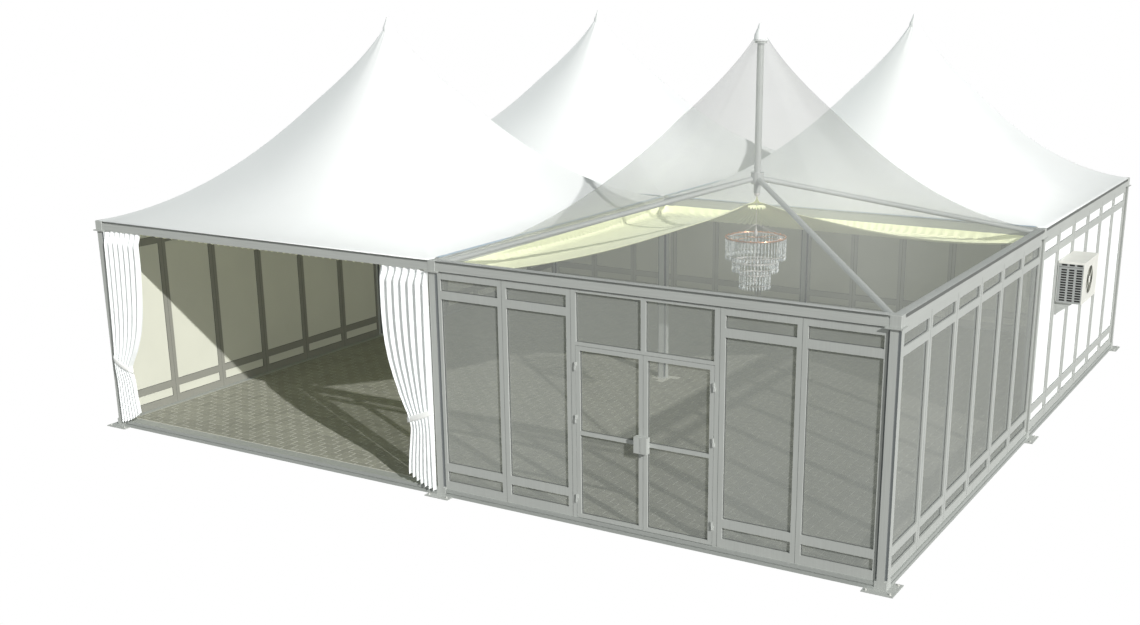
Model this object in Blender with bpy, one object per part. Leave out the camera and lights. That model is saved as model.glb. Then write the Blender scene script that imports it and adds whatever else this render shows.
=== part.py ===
"""Modular marquee: four square pagoda bays in a two by two grid, at real size in metres.

X runs along the front from left to right, Y from the front to the back and Z up.
The origin is on the ground under the centre post.
"""
import math

import bmesh
import bpy
from mathutils import Matrix, Vector

# Grid and levels
BAY = 6.0                    # spacing of the posts
GAP = 0.0003                 # play between pieces that touch
FLOOR_TOP = 0.095            # also the top of the base rails
WALL_TOP = 2.962
BEAM_BOTTOM = 2.976
BEAM_TOP = 3.105
HUB_Z = 3.963                # where the rafters meet the mast
MAST_FOOT = 3.768
APEX_Z = 5.862               # top of the roof surface, carried on to a point

# Posts
POST_HALF = 0.0725
POST_NOTCH = 0.026           # keder channel in each corner of the profile
PLATE_HALF = 0.185
PLATE_T = 0.012
SHOE_TOP = 0.110
HEAD_HALF = 0.100
HEAD_T = 0.012
HEAD_TOP = BEAM_BOTTOM - GAP
SPIGOT_HALF = 0.034
SPIGOT_TOP = 3.060
SEAT_IN = 0.062              # rafter seat on the head plate, from the grid lines
SEAT_OUT = 0.098
SEAT_TOP = 3.025

# Eave and valley beams
BEAM_END = 0.050             # from the grid line to the beam's end
BEAM_FACE = 0.068            # outer face of an eave beam, from the grid line
BEAM_INNER = 0.042
BEAM_GROOVE = (3.075, 3.098)
GROOVE_DEEP = 0.010
VALLEY_HALF = 0.055
RIB_HALF = 0.0295            # gutter rib between two roof skins
RIB_TOP = 3.118

# Floor and the base rails round it
DECK_T = 0.025
JOIST_HALF = 0.030
JOIST_STEP = 1.0
JOIST_END = 5.800
RAIL_FLANGE = 0.072          # lower edge of a base rail, from the grid line outwards
RAIL_FACE = 0.066
RAIL_DEEP = 0.056            # bottom of the groove in its outer face
RAIL_GROOVE = (0.040, 0.052)
RAIL_INNER = 0.100           # inner face, from the grid line inwards
PLATE_POCKET = 0.0005        # clearance over and round a base plate

# Wall frames
FRAME_FRONT = 0.045          # from the grid line outwards
FRAME_BACK = -0.005
MODULE = 0.9845
MODULE_START = (BAY - 6 * MODULE) / 2
STILE = 0.0635
WALL_START = POST_HALF + GAP
RAILS = ((0.208, 0.348), (0.457, 2.625), (2.727, 2.876))   # clear heights of the three panes
SHEET_T = 0.0064
SHEET_MID = 0.016            # middle of a glass sheet, from the grid line outwards
SLOT_T = SHEET_T + 2 * GAP
SLOT_EDGE = 0.020            # frame left round the slot that holds the glass
PANEL_FACES = (0.022, 0.008)

# Double door in the front wall of the right bay
JAMB = 0.059
DOOR_LEFT = MODULE_START + 2 * MODULE + JAMB     # inner face of the left jamb
DOOR_RIGHT = BAY - DOOR_LEFT
DOOR_MID = BAY / 2
LEAF_CLEAR = 0.005
MEET_CLEAR = 0.008
LEAF_STILE = 0.055
LEAF_BOTTOM = 0.102
LEAF_TOP = 2.280
LEAF_PANES = ((0.152, 1.171), (1.219, 2.225))
HEAD_RAIL = (2.285, 2.327)
TRANSOM_TOP = 2.926
TRANSOM_STILE = 0.012
TRANSOM_MULLION = 0.066
HINGE_OUT = 0.060            # hinge axis, from the grid line outwards
HINGE_IN = 0.0025            # and from the jamb's face into the doorway
HINGE_R = 0.009
HINGE_H = 0.050
HINGE_ZS = (0.30, 1.32, 1.98)
TAB = 0.0165
LOCK_W = 0.083
LOCK_H = 0.200
LOCK_Z = 1.197
LOCK_OUT = 0.075

# Roof
SKIN_T = 0.006
SKIN_EDGE = 0.062            # outer edge of a skin, from the grid line
SKIN_INNER = 0.030
SKIN_Z0 = BEAM_TOP + GAP + SKIN_T
SKIN_SLOPE = 0.60            # rise of the hip over the whole run, linear part
SKIN_CURVE = APEX_Z - SKIN_Z0 - SKIN_SLOPE
SKIN_SAG = 0.11              # how far the middle of a side hangs below the hip
SKIN_RING = 0.028            # where the skin stops round the mast, as a share of the run
RAFTER_R = 0.035
RAFTER_FOOT = 0.080          # from the grid lines to the rafter's lower end
RAFTER_FOOT_Z = 3.063
MAST_R = 0.045
MAST_TOP = 5.800
HUB_R = 0.085
HUB_H = 0.150
CAP_R = 0.078
CAP_BASE = 5.760
CAP_TOP = 5.905
SIDES = 12

# Lining
LINING_EDGE = 0.112
LINING_Z0 = 2.900
LINING_STRAIGHT = 0.06       # the straight part of its rise to the neck, the rest curves up
LINING_T = 0.006
LINING_NECK_R = 0.150
LINING_NECK_Z = 3.610
LINING_TOP_R = 0.044

# Tied curtains of the open front: near edge from the grid line and size of each, then the free
# edge as widths at each height, from the hem up
CURTAIN_PLACES = {"curtain_left": (-1, 0.076, 1.07), "curtain_right": (1, 0.110, 1.065)}
CURTAIN_OUT = 0.060
CURTAIN_IN = 0.015
CURTAIN_FREE_EDGE = (
    (0.374, 0.240),
    (0.284, 0.930),
    (0.424, 1.200),
    (0.604, 1.700),
    (0.680, 2.300),
    (0.680, HEAD_TOP - HEAD_T - GAP),
)

# Chandelier
CHANDELIER_TIERS = ((0.405, 3.190, 2.890), (0.312, 2.870, 2.720), (0.212, 2.700, 2.490))
TIER_T = 0.014
STEM_R = 0.010
SPOKE = 0.012
RING_SIDES = 24

# Air conditioner on the right wall of the back right bay
AC_Y = (1.050, 1.980)
AC_OUT = (0.060, 0.440)
AC_Z = (1.850, 2.465)
AC_FAN_R = 0.195
AC_FAN_Y = 1.440
AC_FAN_Z = 2.165
AC_FAN_DEEP = 0.012
AC_ARM_Y = (1.090, 1.930)
AC_ARM_T = 0.014
AC_ARM_OUT = 0.290
AC_ARM_LOW = 1.640
AC_ARM_STEP = 0.020

SATIN_GREY = ((0.38, 0.39, 0.36), 0.42, 0.85)
WHITE_SKIN = ((0.90, 0.92, 0.91), 0.55, 0.0)
CLEAR_FILM = ((0.52, 0.55, 0.53), 0.20, 0.0)
WHITE_PANEL = ((0.86, 0.85, 0.80), 0.50, 0.0)
TINTED_GLASS = ((0.24, 0.26, 0.24), 0.08, 0.0)
YELLOW_LINING = ((0.85, 0.83, 0.55), 0.80, 0.0)
WHITE_CLOTH = ((0.90, 0.90, 0.90), 0.80, 0.0)
FLOOR_TILE = ((0.34, 0.33, 0.30), 0.75, 0.0)
COPPER = ((0.70, 0.28, 0.08), 0.25, 0.9)
CREAM_CASE = ((0.85, 0.84, 0.76), 0.45, 0.0)

# The bays: name, centre and which sides face outwards, as signs
BAYS = (
    ("front_left", -1, -1),
    ("front_right", 1, -1),
    ("back_left", -1, 1),
    ("back_right", 1, 1),
)


def material(name, look):
    """One Principled material, made once per name."""
    if name in bpy.data.materials:
        return bpy.data.materials[name]
    made = bpy.data.materials.new(name)
    made.use_nodes = True
    shader = made.node_tree.nodes["Principled BSDF"]
    colour, roughness, metallic = look
    shader.inputs["Base Color"].default_value = (*colour, 1.0)
    shader.inputs["Roughness"].default_value = roughness
    shader.inputs["Metallic"].default_value = metallic
    return made


def add(name, bm, look_name, look, smooth=False):
    """Turn a bmesh into a named object of one material."""
    bmesh.ops.recalc_face_normals(bm, faces=bm.faces)
    mesh = bpy.data.meshes.new(name)
    bm.to_mesh(mesh)
    bm.free()
    if smooth:
        mesh.shade_smooth()
        mesh.set_sharp_from_angle(angle=math.radians(35))
    obj = bpy.data.objects.new(name, mesh)
    bpy.context.scene.collection.objects.link(obj)
    obj.data.materials.append(material(look_name, look))
    return obj


def turned(bm, quarter_turns):
    """Turn a bmesh about the centre post, so that a front piece serves another side."""
    turn = Matrix.Rotation(math.radians(90) * quarter_turns, 4, "Z")
    bmesh.ops.transform(bm, matrix=turn, verts=bm.verts)
    return bm


def grid_solid(xs, ys, zs, filled):
    """A closed solid of the box cells that filled(x, y, z) accepts, tested at each cell's middle."""
    bm = bmesh.new()
    made = {}

    def corner(i, j, k):
        if (i, j, k) not in made:
            made[i, j, k] = bm.verts.new((xs[i], ys[j], zs[k]))
        return made[i, j, k]

    def solid(i, j, k):
        if not (0 <= i < len(xs) - 1 and 0 <= j < len(ys) - 1 and 0 <= k < len(zs) - 1):
            return False
        middle = ((xs[i] + xs[i + 1]) / 2, (ys[j] + ys[j + 1]) / 2, (zs[k] + zs[k + 1]) / 2)
        return filled(*middle)

    for i in range(len(xs) - 1):
        for j in range(len(ys) - 1):
            for k in range(len(zs) - 1):
                if not solid(i, j, k):
                    continue
                if not solid(i - 1, j, k):
                    near = (corner(i, j, k), corner(i, j, k + 1))
                    bm.faces.new((*near, corner(i, j + 1, k + 1), corner(i, j + 1, k)))
                if not solid(i + 1, j, k):
                    near = (corner(i + 1, j, k), corner(i + 1, j + 1, k))
                    bm.faces.new((*near, corner(i + 1, j + 1, k + 1), corner(i + 1, j, k + 1)))
                if not solid(i, j - 1, k):
                    near = (corner(i, j, k), corner(i + 1, j, k))
                    bm.faces.new((*near, corner(i + 1, j, k + 1), corner(i, j, k + 1)))
                if not solid(i, j + 1, k):
                    near = (corner(i, j + 1, k), corner(i, j + 1, k + 1))
                    bm.faces.new((*near, corner(i + 1, j + 1, k + 1), corner(i + 1, j + 1, k)))
                if not solid(i, j, k - 1):
                    near = (corner(i, j, k), corner(i, j + 1, k))
                    bm.faces.new((*near, corner(i + 1, j + 1, k), corner(i + 1, j, k)))
                if not solid(i, j, k + 1):
                    near = (corner(i, j, k + 1), corner(i + 1, j, k + 1))
                    bm.faces.new((*near, corner(i + 1, j + 1, k + 1), corner(i, j + 1, k + 1)))
    bmesh.ops.dissolve_limit(bm, angle_limit=math.radians(1), verts=bm.verts, edges=bm.edges)
    return bm


def box(x0, x1, y0, y1, z0, z1):
    """A plain box as a bmesh."""
    return grid_solid((x0, x1), (y0, y1), (z0, z1), lambda x, y, z: True)


def tube(start, end, radius, sides=SIDES, end_radius=None):
    """A closed round bar, or a cone, between two points."""
    bm = bmesh.new()
    start = Vector(start)
    along = Vector(end) - start
    tip = radius if end_radius is None else end_radius
    bmesh.ops.create_cone(bm, cap_ends=True, segments=sides, radius1=radius, radius2=tip, depth=along.length)
    aim = along.to_track_quat("Z", "Y").to_matrix().to_4x4()
    place = Matrix.Translation(start + along / 2) @ aim
    bmesh.ops.transform(bm, matrix=place, verts=bm.verts)
    return bm


def combine(obj, bm, operation):
    """Join a bmesh to an object, or cut it out, with a Boolean modifier."""
    tool = add(obj.name + "_tool", bm, "tool", SATIN_GREY)
    tool.hide_render = True
    tool.display_type = "WIRE"
    change = obj.modifiers.new(operation.lower(), "BOOLEAN")
    change.operation = operation
    change.solver = "EXACT"
    change.object = tool


def mirrored(values):
    """A list of distances on both sides of zero, in order."""
    return sorted({-v for v in values} | set(values))


def floor_deck():
    """The floor plate on its joists, with a hole for the centre post."""
    hole = POST_HALF + PLATE_POCKET
    edge = BAY - RAIL_INNER - GAP
    joists = mirrored([(n + 0.5) * JOIST_STEP for n in range(6)])
    sides = [x + half for x in joists for half in (-JOIST_HALF, JOIST_HALF)]
    xs = sorted({*mirrored((hole, edge)), *sides})
    ys = mirrored((hole, JOIST_END, edge))

    def filled(x, y, z):
        if max(abs(x), abs(y)) < hole:
            return False
        on_joist = min(abs(x - joist) for joist in joists) < JOIST_HALF
        return z > FLOOR_TOP - DECK_T or (on_joist and abs(y) < JOIST_END)

    bm = grid_solid(xs, ys, (0, FLOOR_TOP - DECK_T, FLOOR_TOP), filled)
    add("floor_deck", bm, "floor_tile", FLOOR_TILE)


def base_rail(name, turns):
    """A ground rail along one side, which goes round the middle post and over the base plates."""
    notch = POST_HALF + GAP
    pocket = PLATE_HALF + PLATE_POCKET
    pocket_top = PLATE_T + PLATE_POCKET
    # behind a corner post the front and back rails run on, and the side rails stop at their inner face
    inner_end = BAY - notch - GAP if turns % 2 == 0 else BAY - RAIL_INNER - GAP
    xs = mirrored((notch, pocket, BAY - pocket, inner_end, BAY - notch))
    ys = sorted(-BAY - out for out in (RAIL_FLANGE, RAIL_FACE, RAIL_DEEP, -notch, -RAIL_INNER))

    def filled(x, y, z):
        out = -BAY - y
        off = min(abs(x), BAY - abs(x))
        if z < pocket_top and off < pocket:
            return False
        if off < notch and out > -notch:
            return False
        if abs(x) > inner_end and out < -notch:
            return False
        if out > RAIL_FACE:
            return z < RAIL_GROOVE[0]
        return out < RAIL_DEEP or not RAIL_GROOVE[0] < z < RAIL_GROOVE[1]

    bm = grid_solid(xs, ys, (0, pocket_top, *RAIL_GROOVE, FLOOR_TOP), filled)
    add(name, turned(bm, turns), "satin_aluminium", SATIN_GREY)


def post(name, col, row):
    """A channelled post with base plate, shoe, head plate, spigot and a seat for each rafter."""
    seats = []
    for sx in (-1, 1):
        for sy in (-1, 1):
            inside = abs(col + sx) <= 1 and abs(row + sy) <= 1
            if inside:
                seats.append((sx, sy))
    core = POST_HALF - POST_NOTCH
    marks = mirrored((SPIGOT_HALF, core, SEAT_IN, POST_HALF, SEAT_OUT, HEAD_HALF, PLATE_HALF))
    levels = (0, PLATE_T, SHOE_TOP, HEAD_TOP - HEAD_T, HEAD_TOP, SEAT_TOP, SPIGOT_TOP)

    def filled(x, y, z):
        far = max(abs(x), abs(y))
        near = min(abs(x), abs(y))
        if z < PLATE_T:
            return far < PLATE_HALF
        if z < SHOE_TOP:
            return far < POST_HALF
        if z < HEAD_TOP - HEAD_T:
            return far < POST_HALF and near < core
        if z < HEAD_TOP:
            return far < HEAD_HALF
        if far < SPIGOT_HALF:
            return True
        side = (math.copysign(1, x), math.copysign(1, y))
        return z < SEAT_TOP and side in seats and near > SEAT_IN and far < SEAT_OUT

    bm = grid_solid(marks, marks, levels, filled)
    bmesh.ops.translate(bm, verts=bm.verts, vec=(col * BAY, row * BAY, 0))
    add(name, bm, "satin_aluminium", SATIN_GREY)


def eave_beam(name, turns, side):
    """An eave beam of one bay, with the keder groove in its outer face."""
    start, end = sorted((side * BEAM_END, side * (BAY - BEAM_END)))
    depths = (-BAY - BEAM_FACE, -BAY - BEAM_FACE + GROOVE_DEEP, -BAY + BEAM_INNER)
    levels = (BEAM_BOTTOM, *BEAM_GROOVE, BEAM_TOP)

    def filled(x, y, z):
        in_groove = BEAM_GROOVE[0] < z < BEAM_GROOVE[1] and y < depths[1]
        return not in_groove

    bm = grid_solid((start, end), depths, levels, filled)
    add(name, turned(bm, turns), "satin_aluminium", SATIN_GREY)


def valley_beam(name, turns):
    """An inner beam from the centre post to a side post, with the gutter rib on top."""
    widths = mirrored((RIB_HALF, VALLEY_HALF))
    length = (-BAY + BEAM_END, -VALLEY_HALF - 0.005)
    levels = (BEAM_BOTTOM, BEAM_TOP, RIB_TOP)
    bm = grid_solid(widths, length, levels, lambda x, y, z: z < BEAM_TOP or abs(x) < RIB_HALF)
    add(name, turned(bm, turns), "satin_aluminium", SATIN_GREY)


def pane_edges(count, first=0):
    """Left and right clear edges of a run of panes, from the grid line."""
    edges = []
    for k in range(first, first + count):
        left = MODULE_START + k * MODULE
        edges.append((left + STILE, left + MODULE - STILE))
    return edges


def frame_marks(x0, x1, panes, z0, z1, rows):
    """The lines at which a frame's bars start and stop."""
    xs = sorted({x0, x1, *(e for pane in panes for e in pane)})
    zs = sorted({z0, z1, *(e for row in rows for e in row)})
    return xs, zs


def within(value, spans):
    """Whether a value lies in one of the spans."""
    return any(low < value < high for low, high in spans)


def glazed_frame(x0, x1, z0, z1, panes, rows, edge=SLOT_EDGE):
    """A frame with a slot in its thickness, which holds one sheet of glass behind its bars."""
    xs, zs = frame_marks(x0, x1, panes, z0, z1, rows)
    xs = sorted({*xs, x0 + edge, x1 - edge})
    zs = sorted({*zs, z0 + edge, z1 - edge})
    slot = (-BAY - SHEET_MID - SLOT_T / 2, -BAY - SHEET_MID + SLOT_T / 2)
    ys = (-BAY - FRAME_FRONT, *slot, -BAY - FRAME_BACK)

    def filled(x, y, z):
        if within(x, panes) and within(z, rows):
            return False
        in_slot = slot[0] < y < slot[1]
        return not (in_slot and x0 + edge < x < x1 - edge and z0 + edge < z < z1 - edge)

    return grid_solid(xs, ys, zs, filled)


def glass_sheet(x0, x1, z0, z1, edge=SLOT_EDGE):
    """The sheet of glass in a glazed frame's slot."""
    inset = edge + GAP
    middle = -BAY - SHEET_MID
    return box(x0 + inset, x1 - inset, middle - SHEET_T / 2, middle + SHEET_T / 2, z0 + inset, z1 - inset)


def wall_span(side):
    """Where a six-panel wall starts and stops between two posts."""
    ends = (WALL_START, BAY - WALL_START)
    return ends if side > 0 else (-ends[1], -ends[0])


def mirrored_spans(spans, side):
    """Spans on the left of the centre line, or the same on its right."""
    if side > 0:
        return spans
    return [(-high, -low) for low, high in reversed(spans)]


def solid_wall(name, turns, side):
    """A wall of six white panels, set back in their frame on both faces."""
    x0, x1 = wall_span(side)
    panes = mirrored_spans(pane_edges(6), side)
    bottom = FLOOR_TOP + GAP
    xs, zs = frame_marks(x0, x1, panes, bottom, WALL_TOP, RAILS)
    faces = (-BAY - PANEL_FACES[0], -BAY - PANEL_FACES[1])
    ys = (-BAY - FRAME_FRONT, *faces, -BAY - FRAME_BACK)

    def filled(x, y, z):
        if faces[0] < y < faces[1]:
            return True
        return not (within(x, panes) and within(z, RAILS))

    bm = grid_solid(xs, ys, zs, filled)
    add(name, turned(bm, turns), "white_panel", WHITE_PANEL)


def glazed_wall(name, turns, side):
    """A wall of six glazed panels."""
    x0, x1 = wall_span(side)
    panes = mirrored_spans(pane_edges(6), side)
    bottom = FLOOR_TOP + GAP
    frame = glazed_frame(x0, x1, bottom, WALL_TOP, panes, RAILS)
    add(name + "_frame", turned(frame, turns), "satin_aluminium", SATIN_GREY)
    glass = glass_sheet(x0, x1, bottom, WALL_TOP)
    add(name + "_glass", turned(glass, turns), "tinted_glass", TINTED_GLASS)


def hinge_axis(side):
    """Where a door leaf's hinge axis stands, for the left leaf (-1) or the right leaf (1)."""
    x = DOOR_MID + side * (DOOR_RIGHT - DOOR_MID - HINGE_IN)
    return x, -BAY - HINGE_OUT


def hinge_half(side, level, towards):
    """One half of a hinge: its knuckle and the tab that fastens it."""
    x, y = hinge_axis(side)
    knuckle = tube((x, y, level), (x, y, level + HINGE_H), HINGE_R)
    near = x + towards * 0.001
    far = x + towards * TAB
    x0, x1 = sorted((near, far))
    tab = box(x0, x1, y - 0.004, -BAY - FRAME_FRONT + 0.002, level, level + HINGE_H)
    return knuckle, tab


def sidelight(name, side):
    """The two glazed panels beside the door, with the door's jamb."""
    x0, x1 = WALL_START, DOOR_LEFT
    panes = pane_edges(2)
    if side > 0:
        x0, x1 = DOOR_RIGHT, BAY - WALL_START
        panes = [(BAY - high, BAY - low) for low, high in reversed(panes)]
    bottom = FLOOR_TOP + GAP
    bm = glazed_frame(x0, x1, bottom, WALL_TOP, panes, RAILS)
    frame = add(name + "_frame", bm, "satin_aluminium", SATIN_GREY)
    for level in HINGE_ZS:
        for piece in hinge_half(side, level, side):
            combine(frame, piece, "UNION")
    add(name + "_glass", glass_sheet(x0, x1, bottom, WALL_TOP), "tinted_glass", TINTED_GLASS)


def transom():
    """The head rail over the door and the two lights above it."""
    x0, x1 = DOOR_LEFT + GAP, DOOR_RIGHT - GAP
    half = TRANSOM_MULLION / 2
    panes = [(x0 + TRANSOM_STILE, DOOR_MID - half), (DOOR_MID + half, x1 - TRANSOM_STILE)]
    edge = 0.006
    bm = glazed_frame(x0, x1, HEAD_RAIL[0], WALL_TOP, panes, [(HEAD_RAIL[1], TRANSOM_TOP)], edge)
    add("door_transom_frame", bm, "satin_aluminium", SATIN_GREY)
    glass = glass_sheet(x0, x1, HEAD_RAIL[0], WALL_TOP, edge)
    add("door_transom_glass", glass, "tinted_glass", TINTED_GLASS)


def door_leaf(name, side):
    """One leaf: a glazed frame with its half of the hinges and its half of the lock box."""
    hinge_edge = DOOR_MID + side * (DOOR_RIGHT - DOOR_MID - LEAF_CLEAR)
    meet_edge = DOOR_MID + side * MEET_CLEAR / 2
    x0, x1 = sorted((hinge_edge, meet_edge))
    panes = [(x0 + LEAF_STILE, x1 - LEAF_STILE)]
    bm = glazed_frame(x0, x1, LEAF_BOTTOM, LEAF_TOP, panes, LEAF_PANES)
    frame = add(name + "_frame", bm, "satin_aluminium", SATIN_GREY)
    for level in HINGE_ZS:
        for piece in hinge_half(side, level + HINGE_H + GAP, -side):
            combine(frame, piece, "UNION")
    lock = sorted((meet_edge, meet_edge + side * LOCK_W))
    front = -BAY - FRAME_FRONT
    half = LOCK_H / 2
    combine(frame, box(*lock, front - LOCK_OUT, front + 0.004, LOCK_Z - half, LOCK_Z + half), "UNION")
    add(name + "_glass", glass_sheet(x0, x1, LEAF_BOTTOM, LEAF_TOP), "tinted_glass", TINTED_GLASS)


def ring_points(run, share, count, roundness):
    """Points of one contour round a bay, from a square with half sides run to a circle."""
    points = []
    for n in range(count):
        angle = 2 * math.pi * n / count
        cos, sin = math.cos(angle), math.sin(angle)
        square = 1 / max(abs(cos), abs(sin))
        reach = square * (1 - roundness) + roundness
        x, y = reach * cos * share, reach * sin * share
        across = min(abs(cos), abs(sin)) / max(abs(cos), abs(sin))
        points.append((x * run(x, 0), y * run(y, 1), across))
    return points


def shell(rings, thickness):
    """A closed thin shell between rings of points and the same points a little lower."""
    bm = bmesh.new()
    top = [[bm.verts.new(p) for p in ring] for ring in rings]
    low = [[bm.verts.new((p[0], p[1], p[2] - thickness)) for p in ring] for ring in rings]
    count = len(rings[0])
    for n in range(count):
        m = (n + 1) % count
        for i in range(len(rings) - 1):
            # both faces are cut along the same diagonal, so that they can't cross
            bm.faces.new((top[i][n], top[i][m], top[i + 1][m]))
            bm.faces.new((top[i][n], top[i + 1][m], top[i + 1][n]))
            bm.faces.new((low[i][m], low[i][n], low[i + 1][m]))
            bm.faces.new((low[i + 1][m], low[i][n], low[i + 1][n]))
        bm.faces.new((top[0][m], top[0][n], low[0][n], low[0][m]))
        bm.faces.new((top[-1][n], top[-1][m], low[-1][m], low[-1][n]))
    return bm


def skin_height(share, across):
    """Height of the roof surface at a share of the run from the mast, 0 at mid side, 1 on a hip."""
    rise = 1 - share
    hip = SKIN_Z0 + SKIN_SLOPE * rise + SKIN_CURVE * rise * rise
    return hip - SKIN_SAG * 4 * share * rise * (1 - across * across)


def roof_skin(name, sx, sy):
    """The concave pagoda skin of one bay, stretched from the eaves up to the mast."""
    centre = (sx * BAY / 2, sy * BAY / 2)

    def run(value, axis):
        outward = (value > 0) == ((sx, sy)[axis] > 0)
        return BAY / 2 + SKIN_EDGE if outward else BAY / 2 - SKIN_INNER

    rings = []
    steps = 9
    count = 24
    for i in range(steps + 1):
        share = SKIN_RING + (1 - SKIN_RING) * i / steps
        roundness = max(0.0, 1 - share / 0.30) ** 0.5 if share < 0.30 else 0.0
        ring = ring_points(run, share, count, roundness)
        rings.append([(centre[0] + x, centre[1] + y, skin_height(share, a)) for x, y, a in ring])
    look = ("clear_film", CLEAR_FILM) if name.endswith("front_right") else ("white_skin", WHITE_SKIN)
    add(name, shell(rings, SKIN_T), *look, smooth=True)


def roof_frame(name, sx, sy):
    """Mast, hub, four rafters and the cap of one bay."""
    cx, cy = sx * BAY / 2, sy * BAY / 2
    mast = tube((cx, cy, MAST_FOOT), (cx, cy, MAST_TOP), MAST_R)
    frame = add(name, mast, "satin_aluminium", SATIN_GREY, True)
    hub_low = HUB_Z - HUB_H / 2
    combine(frame, tube((cx, cy, hub_low), (cx, cy, hub_low + HUB_H), HUB_R), "UNION")
    reach = BAY / 2 - RAFTER_FOOT
    seat = (SEAT_IN + SEAT_OUT) / 2
    half = (SEAT_OUT - SEAT_IN) / 2 - 0.002
    for dx in (-1, 1):
        for dy in (-1, 1):
            foot = (cx + dx * reach, cy + dy * reach, RAFTER_FOOT_Z)
            combine(frame, tube(foot, (cx, cy, HUB_Z), RAFTER_R), "UNION")
            px, py = cx + dx * (BAY / 2 - seat), cy + dy * (BAY / 2 - seat)
            lug = tube((px, py, SEAT_TOP + GAP), (px, py, RAFTER_FOOT_Z + 0.010), half, 10)
            combine(frame, lug, "UNION")
    collar_r = (BAY / 2 - SKIN_INNER) * SKIN_RING - 0.004
    skin_top = skin_height(SKIN_RING, 0)
    combine(frame, tube((cx, cy, skin_top - 0.05), (cx, cy, skin_top + 0.012), collar_r, 24), "UNION")
    combine(frame, tube((cx, cy, CAP_BASE), (cx, cy, CAP_TOP), CAP_R, 16, 0.022), "UNION")


def lining_height(share):
    """Height of the lining at a share of the run from the hub to the eave."""
    rise = 1 - share
    neck = LINING_NECK_R / (BAY / 2 - LINING_EDGE)
    top = 1 - neck
    part = min(1.0, rise / top)
    curve = LINING_STRAIGHT * part + (1 - LINING_STRAIGHT) * part * part
    return LINING_Z0 + (LINING_NECK_Z - LINING_Z0) * curve


def lining(name, sx, sy):
    """A bay's ceiling lining, drawn up to a neck under the mast."""
    cx, cy = sx * BAY / 2, sy * BAY / 2
    half_run = BAY / 2 - LINING_EDGE
    neck = LINING_NECK_R / half_run
    shares = [neck + (1 - neck) * i / 6 for i in range(7)]
    rings = []
    count = 24
    for share in shares:
        roundness = 1.0 if share == neck else 0.0
        ring = ring_points(lambda value, axis: half_run, share, count, roundness)
        rings.append([(cx + x, cy + y, lining_height(share)) for x, y, _ in ring])
    top = ring_points(lambda value, axis: 1.0, LINING_TOP_R, count, 1.0)
    rings.insert(0, [(cx + x, cy + y, MAST_FOOT - GAP) for x, y, _ in top])
    obj = add(name, shell(rings, LINING_T), "yellow_lining", YELLOW_LINING, True)
    if name.endswith("front_right"):
        away = 4.0
        bm = box(-away, away, -2 * away, 0, -1, 9)
        turn = Matrix.Translation((cx, cy, 0)) @ Matrix.Rotation(math.radians(45), 4, "Z")
        bmesh.ops.transform(bm, matrix=turn, verts=bm.verts)
        combine(obj, bm, "DIFFERENCE")


def curtain(name):
    """A curtain of the open front, drawn to its post and tied, hanging from under the head plate."""
    side, near, size = CURTAIN_PLACES[name]
    post_x = -BAY if side < 0 else 0.0
    foot = FLOOR_TOP + GAP
    first_width = CURTAIN_FREE_EDGE[0][0]
    top = CURTAIN_FREE_EDGE[-1][1]
    outline = [(0, top), (0, foot), (first_width / 2, foot), *CURTAIN_FREE_EDGE]
    bm = bmesh.new()
    front = []
    for width, z in outline:
        x = post_x - side * (near + width * size)
        front.append(bm.verts.new((x, -BAY - CURTAIN_OUT, z)))
    face = bm.faces.new(front)
    grown = bmesh.ops.extrude_face_region(bm, geom=[face])
    moved = [v for v in grown["geom"] if isinstance(v, bmesh.types.BMVert)]
    bmesh.ops.translate(bm, verts=moved, vec=(0, CURTAIN_OUT - CURTAIN_IN, 0))
    add(name, bm, "white_cloth", WHITE_CLOTH)


def chandelier():
    """Three tiers of crystal bands on a stem under the mast."""
    cx, cy = BAY / 2, -BAY / 2
    low = CHANDELIER_TIERS[-1][1] - 0.03
    obj = add("chandelier", tube((cx, cy, low), (cx, cy, MAST_FOOT - GAP), STEM_R), "copper", COPPER)
    for radius, top, bottom in CHANDELIER_TIERS:
        band = bmesh.new()
        rings = []
        for r, z in ((radius, top), (radius, bottom), (radius - TIER_T, bottom), (radius - TIER_T, top)):
            ring = []
            for n in range(RING_SIDES):
                angle = 2 * math.pi * n / RING_SIDES
                ring.append(band.verts.new((cx + r * math.cos(angle), cy + r * math.sin(angle), z)))
            rings.append(ring)
        for k in range(4):
            for n in range(RING_SIDES):
                m = (n + 1) % RING_SIDES
                nxt = (k + 1) % 4
                band.faces.new((rings[k][n], rings[k][m], rings[nxt][m], rings[nxt][n]))
        bmesh.ops.recalc_face_normals(band, faces=band.faces)
        combine(obj, band, "UNION")
        reach = radius - TIER_T / 2
        half = SPOKE / 2
        level = (top - SPOKE - 0.004, top - 0.004)
        combine(obj, box(cx - reach, cx + reach, cy - half, cy + half, *level), "UNION")
        lower = (level[0] - 0.002, level[1] - 0.002)
        combine(obj, box(cx - half, cx + half, cy - reach, cy + reach, *lower), "UNION")


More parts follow.
